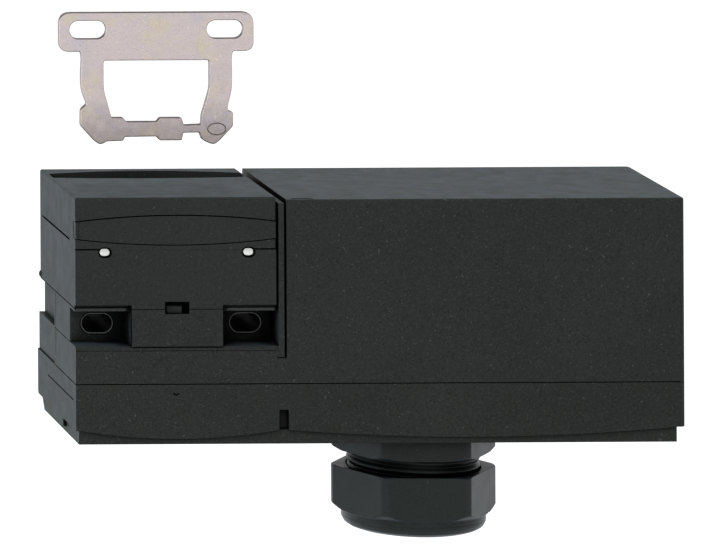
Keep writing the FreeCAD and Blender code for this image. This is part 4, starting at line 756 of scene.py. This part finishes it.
@dataclass
class Housing:
    """L-shaped housing with small mould marks, dark strips of painted shade along its seams, edges and grooves,
    rims of painted highlight round its slots and strips of painted light on its ledge.
    """

    top: float = 18.9
    mark_x: Pair = (16.9, 20.3)
    mark_y: Pair = (-29.45, -28.95)
    mark_radius: float = 0.09
    mark_swell: float = 6.0
    mark_least: float = 0.02
    slot_places: Pair = (-11.0, 11.0)
    slot_size: Pair = (4.64, 2.9)
    slot_depth: float = -25.4
    rim_radius: float = 0.07
    rim_flatness: float = 0.5
    # dark strips of painted shade along seams, edges and grooves, and two lighter ledge strips of painted light
    seams: tuple[Seam, ...] = (
        Seam("neck_seam_left", Side.FRONT, ((-6.75, 2.8), (-1.85, 2.8)), 0.09),
        Seam("neck_seam_right", Side.FRONT, ((1.85, 2.8), (6.75, 2.8)), 0.09),
        Seam("ledge_seam_left", Side.FRONT, ((-15, 3.08), (-6.75, 3.08)), 0.16),
        Seam("ledge_seam_right", Side.FRONT, ((6.75, 3.08), (14.65, 3.08)), 0.16),
        # painted light: lighter strips on the ledge's front below the head
        Seam("ledge_strip_left", Side.FRONT, ((-14.9, 2.66), (-7.3, 2.66)), 0.44, inset=0.8,
             finish=Finish.LEDGE),
        Seam("ledge_strip_right", Side.FRONT, ((7.5, 2.66), (14.65, 2.66)), 0.44, inset=0.8,
             finish=Finish.LEDGE),
        Seam("band_bevel_line", Side.FRONT, ((-15, -3.32), (14.9, -3.32)), 0.07),
        Seam("web_edge_left", Side.FRONT, ((-6.8, -2.6), (-6.8, 3.0)), 0.16),
        Seam("web_edge_right", Side.FRONT, ((6.8, -2.6), (6.8, 3.0)), 0.08),
        Seam("cover_seam_front", Side.FRONT, ((-15, -8.25), (74.2, -8.25)), 0.15),
        Seam("cover_seam_left", Side.LEFT, ((-30, -8.25), (-13.6, -8.25)), 0.15),
        Seam("cover_seam_right", Side.RIGHT, ((-29.2, -8.25), (-0.8, -8.25)), 0.15),
        Seam("cover_seam_back", Side.BACK, ((-14.7, -8.25), (74.2, -8.25)), 0.15),
        Seam("neck_seam_side", Side.LEFT, ((-30, 2.88), (-2.6, 2.88)), 0.14),
        Seam("band_seam_side", Side.LEFT, ((-25.6, -2.7), (-13.6, -2.7)), 0.12),
        Seam("neck_upright_side", Side.LEFT, ((-14.5, 2.7), (-14.5, -6.6)), 0.13),
        Seam("slit_foot", Side.FRONT, ((14.75, -4.4), (16.1, -4.4)), 0.16),
    )
    # painted shade: a dark V line for the dimple on the cover
    dimple: Seam = Seam("cover_dimple", Side.FRONT, ((-0.65, -9.59), (-0.2, -9.85), (0.25, -9.59)), 0.2)

    def build(self) -> None:
        """Dresses the mouldings and adds seam strips of painted shade, ledge strips of painted light, slot rims of
        painted highlight and marks.
        """
        Shop.dress(Finish.HOUSING, "main_housing", "neck_block")
        Shop.add(self.gate_mark(), "housing", "housing_black", Finish.HOUSING)
        for seam in self.seams:
            seam.build("housing_black")
        for name, x in zip(("left_slot_rim", "right_slot_rim"), self.slot_places):
            # painted highlight: lighter rims round the fixing slots
            Shop.add(self.slot_rim(name, x), "housing", "housing_black", Finish.RIM)
        self.dimple.build("cover_black")

    def slot_rim(self, name: str, x: float) -> Item:
        """Rim of painted highlight round a fixing slot, a fine lighter bead carried round the slot's outline.

        Formula: the bead's centre follows the obround; round the bead the point moves by its radius outwards from
        the slot's middle and, by a share of it, forwards.

        Args:
            name: the rim's name.
            x: the slot's place.

        Returns:
            The rim.
        """
        outline = Surface.obround((x, 0.0), *self.slot_size, 28)
        tangent = np.roll(outline, -1, axis=0) - np.roll(outline, 1, axis=0)
        tangent /= np.linalg.norm(tangent, axis=1)[:, None]
        away = np.stack([tangent[:, 1], -tangent[:, 0]], axis=1)
        angle = Surface.round_way(8)
        flat = outline[:, None] + away[:, None] * (self.rim_radius * np.cos(angle))[None, :, None]
        depth = self.slot_depth - self.rim_flatness * self.rim_radius * np.sin(angle)
        depth = np.broadcast_to(depth, flat.shape[:2])
        return Surface.rings(name, np.stack([flat[..., 0], depth, flat[..., 1]], -1), loop=True)

    def gate_mark(self) -> Item:
        """Raised arched line on the block's top, a bead carried along a shallow arch.

        Formula: along the arch, X runs evenly and the depth is its first value plus a half sine; round the bead the
        point moves by the bead's radius in depth and height, and the radius shrinks to nothing at both ends.

        Returns:
            The bead.
        """
        t = np.linspace(0, 1, 33)[:, None]
        angle = Surface.round_way(12)[None]
        arch = np.sin(np.pi * t)
        radius = self.mark_radius * np.clip(arch * self.mark_swell, self.mark_least, 1)
        x = self.mark_x[0] + (self.mark_x[1] - self.mark_x[0]) * t + 0 * angle
        y = self.mark_y[0] + (self.mark_y[1] - self.mark_y[0]) * arch + radius * np.cos(angle)
        z = self.top + radius * np.sin(angle)
        return Surface.rings("gate_mark", np.stack([x, y, z], axis=-1), loop=False)


@dataclass
class Head:
    """Head with its cap, plug, nub and the two flat pins."""

    pins: tuple[tuple[str, float], ...] = (("left_cap_pin", -10.6), ("right_cap_pin", 10.6))
    pin_z: float = 11.2
    pin_size: Pair = (1.6, 1.2)
    pin_y: Pair = (-29.8, -22.2)
    pin_dome: float = 0.16
    pin_end_scale: float = 0.9
    pin_end_length: float = 0.1
    nub_place: Point = (-14.9, -2.75, 3.5)
    nub_size: Point = (0.8, 0.7, 1.1)
    nub_pole_gap: float = 0.05
    # dark strips of painted shade along the entry's seams, the cap's groove and the cap's seams
    seams: tuple[Seam, ...] = (
        Seam("entry_seam_top", Side.FRONT, ((-15, 15.76), (14.65, 15.76)), 0.19, sag=0.92),
        Seam("entry_seam_low", Side.FRONT, ((-15, 13.2), (14.65, 13.2)), 0.15, sag=-0.92),
        Seam("entry_end_line", Side.FRONT, ((-14.55, 13.25), (-14.55, 15.72)), 0.06),
        Seam("cap_groove", Side.LEFT, ((-25.5, 12.5), (-5.4, 12.5)), 0.3),
        Seam("cap_seam_left", Side.FRONT, ((-15, 11.66), (-11.5, 11.66)), 0.26, inset=0.22),
        Seam("cap_seam_right", Side.FRONT, ((11.5, 11.66), (14.6, 11.66)), 0.3, inset=0.22),
    )

    def build(self) -> None:
        """Dresses the mouldings and adds seam strips of painted shade, the domed pins and the nub."""
        for seam in self.seams:
            seam.build("head_black")
        Shop.dress(Finish.HEAD, "head_base", "head_cap", "slot_plug", "head_latch")
        Shop.dress(Finish.PIN, "cap_pins")
        for name, x in self.pins:
            Shop.add(self.pin(name, x), "housing", "pin_steel", Finish.PIN, "cap_pins")
        Shop.add(self.nub(), "housing", "head_black", Finish.HEAD)

    def nub(self) -> Item:
        """Small moulding nub at the head's rear left foot.

        Formula: an ellipsoid; at latitude a and longitude b the point is the middle plus the three half sizes times
        (cos a cos b, cos a sin b, sin a).

        Returns:
            The nub.
        """
        top = np.pi / 2 - self.nub_pole_gap
        a, b = np.linspace(-top, top, 12)[:, None], Surface.round_way(20)[None]
        shape = np.stack([np.cos(a) * np.cos(b), np.cos(a) * np.sin(b), np.sin(a) + 0 * b], -1)
        points = np.array(self.nub_place) + shape * np.array(self.nub_size) / 2
        return Surface.rings("head_nub", points, loop=False)

    def pin(self, name: str, x: float) -> Item:
        """Flat pin with a domed end.

        Formula: rings of the obround outline, scaled by sin a and pushed forward by the dome times cos a for a from
        near 0 to a right angle, then carried straight back.

        Args:
            name: the pin's name.
            x: its place.

        Returns:
            The pin.
        """
        bend = np.linspace(0.08, np.pi / 2, 9)
        scale = np.concatenate([np.sin(bend), [1.0, self.pin_end_scale]])
        low, high = self.pin_y
        dome = low + self.pin_dome * (1 - np.cos(bend))
        depth = np.concatenate([dome, [high - self.pin_end_length, high]])
        rings = Surface.obround((0, 0), *self.pin_size)[None] * scale[:, None, None]
        y = np.broadcast_to(depth[:, None], rings.shape[:2])
        points = np.stack([rings[..., 0] + x, y, rings[..., 1] + self.pin_z], axis=-1)
        return Surface.rings(name, points, loop=False)


class Cover:
    """Cover with its screws and gasket."""

    def build(self) -> None:
        """Dresses the cover's nodes."""
        Shop.dress(Finish.COVER, "terminal_cover")
        Shop.dress(Finish.RUBBER, "cover_gasket")
        Shop.dress(Finish.SCREW, "cover_screws")


@dataclass
class CableGland:
    """Cable gland under the cover: hexagons with turned corners, thread, bush, clamp ring."""

    centre: Pair = (38.3, -15.0)
    turn: float = -2.8
    flats: float = 21.6
    sharpness: int = 240
    thread_radius: float = 9.5
    thread_depth: float = 0.28
    thread_root: float = 0.1
    thread_core: float = 0.6
    thread_pitch: float = 1.35
    thread_span: Pair = (-23.6, -20.82)
    thread_fade: float = 0.15
    thread_fullness: float = 0.7
    top: float = -12.1
    foot: float = -26.4
    bore: float = 5.6
    seat: float = 7.55
    shell_profile: tuple[Pair, ...] = (
        (9.4, -12.1), (9.5, -12.3), (9.5, -17.6), (11.9, -17.6), (12.08, -17.68), (12.12, -17.85),
        (12.12, -20.2), (12.0, -20.4), (11.3, -20.76), (11.0, -20.8), (9.3, -20.8), (9.3, -26.1),
        (9.1, -26.4),
    )
    nut_profile: tuple[Pair, ...] = (
        (9.95, -23.2), (11.95, -23.2), (12.07, -23.26), (12.12, -23.4), (12.12, -28.8),
        (12.03, -29.02), (11.35, -29.6), (10.95, -29.78), (10.62, -29.95), (10.6, -30.4),
        (10.52, -30.62), (10.6, -30.78), (10.5, -31.2), (10.2, -31.72), (9.6, -32.1), (8.8, -32.36),
        (7.6, -32.5), (6.6, -32.48), (5.95, -32.28), (5.65, -31.9), (5.6, -31.2), (5.6, -28.45),
        (9.75, -28.45), (9.75, -23.6),
    )

    def build(self) -> None:
        """Dresses the gland's nodes and adds shell, thread and nut."""
        Shop.dress(Finish.GLAND, "gland_locknut", "clamp_ring", "gland_body", "gland_nut")
        Shop.dress(Finish.RUBBER, "gland_gasket", "gland_seal")
        shell = self.hexagonal("gland_shell", (*self.shell_profile, *self.inside()))
        Shop.add(shell, "housing", "gland_black", Finish.GLAND, "gland_body")
        Shop.add(self.thread(), "housing", "gland_black", Finish.GLAND)
        nut = self.hexagonal("gland_nut_body", self.nut_profile)
        Shop.add(nut, "gland_nut", "gland_black", Finish.GLAND, "gland_nut")

    def inside(self) -> tuple[Pair, ...]:
        """Profile of the gland body's inside, from its foot up: the bush's seat and the bore."""
        seat_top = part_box("gland_seal")[1][2] / MM
        seat = ((self.seat, self.foot), (self.seat, seat_top))
        return (*seat, (self.bore, seat_top), (self.bore, self.top))

    def hexagonal(self, name: str, corners: tuple[Pair, ...]) -> Item:
        """Closed turned surface whose rings are cut to the hexagon.

        Formula: each ring has its profile's radius, held within the hexagon's radius at that angle. The hexagon's
        radius is half the distance across flats divided by the power mean of the three flats' cosines.

        Args:
            name: the piece's name.
            corners: closed profile of radius and height.

        Returns:
            The piece.
        """
        profile = self.dense(np.array(corners))
        angle = Surface.round_way(360)
        sixth = np.pi / 3
        faces = math.radians(self.turn) + sixth / 2 + np.arange(3)[None] * sixth
        cosine = np.abs(np.cos(angle[:, None] - faces)) ** self.sharpness
        hexagon = self.flats / 2 / cosine.sum(axis=1) ** (1 / self.sharpness)
        return self.turned(name, np.minimum(profile[:, :1], hexagon[None]), profile[:, 1:], angle)

    def thread(self) -> Item:
        """Helical thread on the gland's neck.

        Formula: the radius is the neck's plus the thread's depth times a raised cosine of the height plus one pitch
        per turn; the surface closes through a smaller radius in the neck.

        Returns:
            The thread.
        """
        low, high = self.thread_span
        angle = Surface.round_way(180)
        z = np.linspace(low, high, 70)[:, None]
        phase = TURN * (z / self.thread_pitch) + angle[None]
        fade = np.clip(np.minimum(z - low, high - z) / self.thread_fade, 0, 1)
        ridge = (0.5 + 0.5 * np.cos(phase)) ** self.thread_fullness * fade
        root = self.thread_radius - self.thread_root
        radius = root + (self.thread_depth + self.thread_root) * ridge
        inner = np.full((2, len(angle)), self.thread_radius - self.thread_core)
        heights = np.concatenate([z, [[high], [low]]])
        return self.turned("gland_thread", np.vstack([radius, inner]), heights, angle)

    def turned(self, name: str, radius: np.ndarray, height: np.ndarray, angle: np.ndarray) -> Item:
        """Rings about the gland's axis, joined in a loop."""
        x = self.centre[0] + radius * np.cos(angle)[None]
        y = self.centre[1] + radius * np.sin(angle)[None]
        points = np.stack([x, y, np.broadcast_to(height, x.shape)], axis=-1)
        return Surface.rings(name, points, loop=True)

    @staticmethod
    def dense(profile: np.ndarray, gap: float = 0.25) -> np.ndarray:
        """Divides a closed profile evenly along its length, keeping its corners."""
        closed = np.vstack([profile, profile[:1]])
        run = np.linalg.norm(np.diff(closed, axis=0), axis=1)
        length = np.concatenate([[0], np.cumsum(run)])
        marks = np.union1d(np.arange(0, length[-1], gap), length[:-1])
        return np.stack([np.interp(marks, length, closed[:, k]) for k in range(2)], axis=1)


@dataclass
class Tongue:
    """Stamped tongue with rounded outlines; a corner is X, Z and how far its rounding reaches."""

    middle: Pair = (1.2, 24.08)
    depth: float = -9.5
    thickness: float = 1.2
    round_over: float = 0.14
    slot_x: float = 10.325
    slot_z: float = 17.3
    slot_size: Pair = (5.5, 2.7)
    outer: tuple[Point, ...] = (
        (14.65, 19.9, 1.85), (-14.65, 19.9, 1.85), (-14.65, 14.0, 1.5), (-11.45, 14.0, 0.3),
        (-11.25, 12.9, 0.3), (-11.4, 10.4, 0.9), (-11.35, 8.3, 0.9), (-10.55, 6.1, 0.3),
        (-11.45, 5.3, 0.35), (-11.5, 2.9, 0.3), (-9.4, 0.55, 0.4), (-8.5, -0.05, 0.5),
        (-7.5, 0.5, 0.3), (-5.08, 0.57, 0.2), (-4.8, 1.15, 0.12), (-0.1, 1.2, 0.12),
        (0.45, 0.6, 0.2), (3.75, 0.6, 0.2), (4.0, 1.74, 0.15), (6.4, 1.76, 0.2), (6.75, 0.75, 0.3),
        (7.6, 0.25, 0.3), (8.6, -0.05, 0.4), (9.4, 0.5, 0.4), (11.5, 2.75, 0.3), (11.5, 4.8, 0.3),
        (10.75, 5.1, 0.1), (10.7, 5.75, 0.3), (11.35, 8.3, 0.9), (11.4, 10.4, 0.9),
        (11.35, 13.0, 0.3), (11.5, 14.0, 0.3), (14.65, 14.0, 1.5),
    )
    window: tuple[Point, ...] = (
        (-7.97, 12.65, 0.45), (7.97, 12.65, 0.45), (7.95, 8.3, 0.8), (6.75, 4.3, 0.25),
        (6.65, 3.0, 0.15), (4.1, 2.9, 0.15), (3.72, 4.03, 0.2), (0.5, 4.03, 0.2), (0.0, 3.44, 0.12),
        (-4.55, 3.44, 0.12), (-5.08, 4.07, 0.2), (-6.8, 4.07, 0.2), (-7.95, 8.3, 0.8),
    )
    mark_centre: Pair = (9.0, 2.31)
    mark_size: Pair = (2.72, 1.74)
    mark_wire: float = 0.09
    mark_rise: float = 0.35
    weld_gap: float = 0.001

    def build(self) -> None:
        """Makes the stamping and its staked mark."""
        Shop.dress(Finish.TONGUE, "tongue")
        Shop.add(self.plate(), "tongue", "tongue_zinc", Finish.TONGUE, "tongue")
        Shop.add(self.mark(), "tongue", "tongue_zinc", Finish.STAKE)

    def outlines(self) -> list[np.ndarray]:
        """Outer edge, window and the two slots, about the plate's own origin."""
        edges = [np.array(corners) for corners in (self.outer, self.window)]
        slots = [(side * self.slot_x, self.slot_z) for side in (-1, 1)]
        loops = [Surface.rounded(edge[:, :2], edge[:, 2]) for edge in edges]
        return loops + [Surface.obround(slot, *self.slot_size, 16) for slot in slots]

    def plate(self) -> Item:
        """Flat filled outline with window and slots, thickened and rounded over.

        Formula: the outlines move inwards by the round-over, the filled sheet grows both ways by half the thickness
        less the round-over, and a bevel of the round-over brings both back out.

        Returns:
            The stamping.
        """
        curve = bpy.data.curves.new("tongue_outline", "CURVE")
        curve.dimensions = "2D"
        curve.fill_mode = "BOTH"
        for loop in self.outlines():
            spline = curve.splines.new("POLY")
            spline.points.add(len(loop) - 1)
            spline.points.foreach_set("co", np.pad(loop * MM, ((0, 0), (0, 2))).ravel())
            spline.use_cyclic_u = True
        curve.bevel_depth = self.round_over * MM
        curve.bevel_resolution = 3
        curve.offset = -self.round_over * MM
        curve.extrude = (self.thickness / 2 - self.round_over) * MM
        holder = Surface.link("tongue_outline", curve)
        graph = bpy.context.evaluated_depsgraph_get()
        mesh = bpy.data.meshes.new_from_object(holder.evaluated_get(graph))
        bpy.data.objects.remove(holder)
        x, z = self.middle
        place = Matrix.Translation(Vector((x, self.depth, z)) * MM)
        mesh.transform(place @ Matrix.Rotation(math.pi / 2, 4, "X"))
        return self.welded(Surface.link("tongue_plate", mesh))

    def welded(self, item: Item) -> Item:
        """Merges doubled points and turns the faces outwards."""
        shell = bmesh.new()
        shell.from_mesh(item.data)
        bmesh.ops.remove_doubles(shell, verts=shell.verts, dist=self.weld_gap * MM)
        bmesh.ops.recalc_face_normals(shell, faces=shell.faces)
        shell.to_mesh(item.data)
        shell.free()
        return item

    def mark(self) -> Item:
        """Oval ring on the right foot, a fine wire carried round an ellipse.

        Formula: the wire's centre is at the half sizes times cosine and sine; round the wire the point moves by the
        wire's radius outwards and, by a share of it, forwards.

        Returns:
            The ring.
        """
        turn, wire = Surface.round_way(72)[:, None], Surface.round_way(10)[None]
        half = np.array(self.mark_size) / 2
        swell = self.mark_wire * np.cos(wire)
        x = self.middle[0] + self.mark_centre[0] + (half[0] + swell) * np.cos(turn)
        z = self.middle[1] + self.mark_centre[1] + (half[1] + swell) * np.sin(turn)
        rise = self.mark_rise * self.mark_wire * np.sin(wire)
        y = self.depth - self.thickness / 2 + rise + 0 * turn
        return Surface.rings("tongue_mark", np.stack([x, y, z], axis=-1), loop=True)


@dataclass(frozen=True)
class Spring:
    """Helical compression spring between a fixed seat and a moving one."""

    node: str
    joint: str
    stroke: float
    turns: int
    wire: float
    along: int
    clearance: float = 0.02

    TURN_STEPS = 48
    WIRE_STEPS = 10

    def coil(self) -> Item:
        """Spring at rest, between the ends of its node's box.

        Formula: the wire's middle runs round a helix that touches both ends; round the wire the point moves by the
        wire's radius away from the axis and along it.

        Returns:
            The spring.
        """
        low, high = np.array(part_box(self.node)) / MM
        second, third = (self.along + 1) % 3, (self.along + 2) % 3
        share = np.linspace(0, 1, self.TURN_STEPS * self.turns)[:, None]
        about = Surface.round_way(self.WIRE_STEPS)[None]
        angle = TURN * self.turns * share
        margin = self.wire + self.clearance
        outside = (high - low)[second] / 2
        radius = outside - self.clearance - self.wire + self.wire * np.cos(about)
        start, end = low[self.along] + margin, high[self.along] - margin
        points = np.empty((len(share), about.size, 3))
        points[..., self.along] = start + (end - start) * share + self.wire * np.sin(about)
        for axis, part in ((second, np.cos(angle)), (third, np.sin(angle))):
            points[..., axis] = (low[axis] + high[axis]) / 2 + radius * part
        return Surface.rings(f"{self.node}_coil", points, loop=False)

    def build(self, slot: str) -> None:
        """Makes the spring, hides its node and gives the coil a mesh of its own."""
        Shop.dress(Finish.SPRING, self.node)
        item = self.coil()
        Shop.add(item, "housing", slot, Finish.SPRING, self.node)
        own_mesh(item)


@dataclass
class Mechanism:
    """Everything inside: wheel, plunger, contacts and solenoid."""

    finishes: dict[Finish, tuple[str, ...]] = field(default_factory=lambda: {
        Finish.WHEEL: ("cam_wheel",),
        Finish.SHAFT: ("cam_shaft", "locking_bolt"),
        Finish.PLUNGER: ("plunger",),
        Finish.SPRING: ("plunger_spring",),
        Finish.INSULATOR: ("contact_block", "terminal_block"),
        Finish.CONTACT: ("contact_bridges", "fixed_contacts"),
        Finish.SCREW: ("contact_screws", "terminal_screws"),
        Finish.YOKE: ("solenoid_yoke",),
        Finish.BOBBIN: ("coil_bobbin",),
        Finish.WINDING: ("coil_winding",),
        Finish.CORE: ("pole_piece", "armature"),
    })
    spring: Spring = Spring("armature_spring", "bolt_slide", stroke=2.8, turns=5, wire=0.2, along=0)

    def build(self) -> None:
        """Dresses the inner nodes and adds the armature's spring."""
        for finish, nodes in self.finishes.items():
            Shop.dress(finish, *nodes)
        self.spring.build("spring_steel")


# ------------------------------------------------------------------ stage and camera

@dataclass(frozen=True)
class Lamp:
    """Large soft area lamp aimed at a point: millimetres for places and side, watts."""

    name: str
    place: Point
    aim: Point
    side: float
    power: float
    tint: Colour = WHITE

    def build(self) -> None:
        """Sets up the lamp."""
        data = bpy.data.lights.new(self.name, "AREA")
        data.size = self.side * MM
        data.energy = self.power
        data.color = self.tint
        item = Surface.link(self.name, data)
        item.location = Vector(self.place) * MM
        item.rotation_mode = "QUATERNION"
        way = Vector(self.aim) - Vector(self.place)
        item.rotation_quaternion = way.to_track_quat("-Z", "Y")


@dataclass
class Studio:
    """White surroundings, a pale floor and soft lamps."""

    floor_height: float = -50.0
    floor_half: float = 3000.0
    floor_grey: float = 0.86
    floor_glow: float = 0.43
    floor_roughness: float = 0.9
    world_strength: float = 0.68
    lamps: tuple[Lamp, ...] = (
        Lamp("key_lamp", (-260, -420, 620), (27, -15, 5), 420, 1.5),
        Lamp("left_lamp", (-620, -120, 160), (0, -15, 5), 380, 2.4, (0.80, 0.91, 1.06)),
    )

    def build(self) -> None:
        """Sets up world, floor and lamps."""
        self.world()
        self.floor()
        for lamp in self.lamps:
            lamp.build()

    def world(self) -> None:
        """White for camera, glossy and transmission rays; a little dimmer as a light."""
        world = bpy.data.worlds.new("white_studio")
        bpy.context.scene.world = world
        world.use_nodes = True
        tree = world.node_tree
        back = tree.nodes["Background"]
        back.inputs["Color"].default_value = (*WHITE, 1.0)
        tree.links.new(self.seen(tree, self.world_strength, 1.0), back.inputs["Strength"])

    @staticmethod
    def seen(tree: Tree, plain: float, shown: float) -> Socket:
        """A number that is `shown` for camera, glossy and transmission rays, `plain` for others.

        Args:
            tree: the node tree to add to.
            plain: value for the light that falls on things.
            shown: value for what is seen directly or mirrored.

        Returns:
            The socket that carries the number.
        """
        path = tree.nodes.new("ShaderNodeLightPath")
        total = path.outputs["Is Camera Ray"]
        for name in ("Is Glossy Ray", "Is Transmission Ray"):
            node = tree.nodes.new("ShaderNodeMath")
            node.operation = "MAXIMUM"
            tree.links.new(total, node.inputs[0])
            tree.links.new(path.outputs[name], node.inputs[1])
            total = node.outputs[0]
        pick = tree.nodes.new("ShaderNodeMapRange")
        pick.inputs["To Min"].default_value = plain
        pick.inputs["To Max"].default_value = shown
        tree.links.new(total, pick.inputs["Value"])
        return pick.outputs[0]

    def floor(self) -> None:
        """Pale floor that looks white where nothing shades it and keeps the shadow."""
        half = self.floor_half
        corners = np.array([[-half, -half], [half, -half], [half, half], [-half, half]])
        vertices = np.column_stack([corners, np.full(4, self.floor_height)])
        item = Surface.make("studio_floor", vertices, [[0, 1, 2, 3]], smooth=False)
        graph = Graph("pale_floor")
        graph.surface(
            Base_Color=(*[self.floor_grey] * 3, 1.0),
            Roughness=self.floor_roughness, Specular_IOR_Level=0.0,
            Emission_Color=(*WHITE, 1.0),
            Emission_Strength=self.seen(graph.tree, 0.0, self.floor_glow),
        )
        item.data.materials.append(graph.material)


@dataclass
class Viewpoint:
    """Camera to the upper left of the switch, its image kept parallel to the front face."""

    place: Point = (-211.38, -1051.34, 184.52)
    aim: Point = (27.0, -30.0, 7.0)
    lens: float = 360.3
    sensor: float = 36.0
    clip: Pair = (0.01, 20.0)
    roll: float = 0.005

    def build(self) -> None:
        """Makes the camera.

        Formula: the columns of the mount's inverse matrix are right and up in the front face's plane, the way back
        to the camera and the camera's place, so the image stays upright.
        """
        data = bpy.data.cameras.new("studio_camera")
        data.sensor_width = self.sensor
        data.lens = self.lens
        data.clip_start, data.clip_end = self.clip
        mount, camera = Surface.link("camera_mount", None), Surface.link("studio_camera", data)
        place = Vector(self.place) * MM
        back = (place - Vector(self.aim) * MM).normalized()
        right = Vector((math.cos(self.roll), 0, -math.sin(self.roll)))
        up = Vector((math.sin(self.roll), 0, math.cos(self.roll)))
        camera.parent = mount
        camera.matrix_parent_inverse = Matrix((
            (right.x, up.x, back.x, place.x),
            (right.y, up.y, back.y, place.y),
            (right.z, up.z, back.z, place.z),
            (0, 0, 0, 1),
        ))
        bpy.context.scene.camera = camera


def main() -> None:
    """Builds camera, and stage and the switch's sub-assemblies."""
    logging.basicConfig(level=logging.INFO)
    bpy.context.scene.view_settings.view_transform = "Standard"
    Viewpoint().build()
    Studio().build()
    for assembly in (Housing(), Head(), Cover(), CableGland(), Tongue(), Mechanism()):
        assembly.build()


if __name__ == "__main__":
    main()
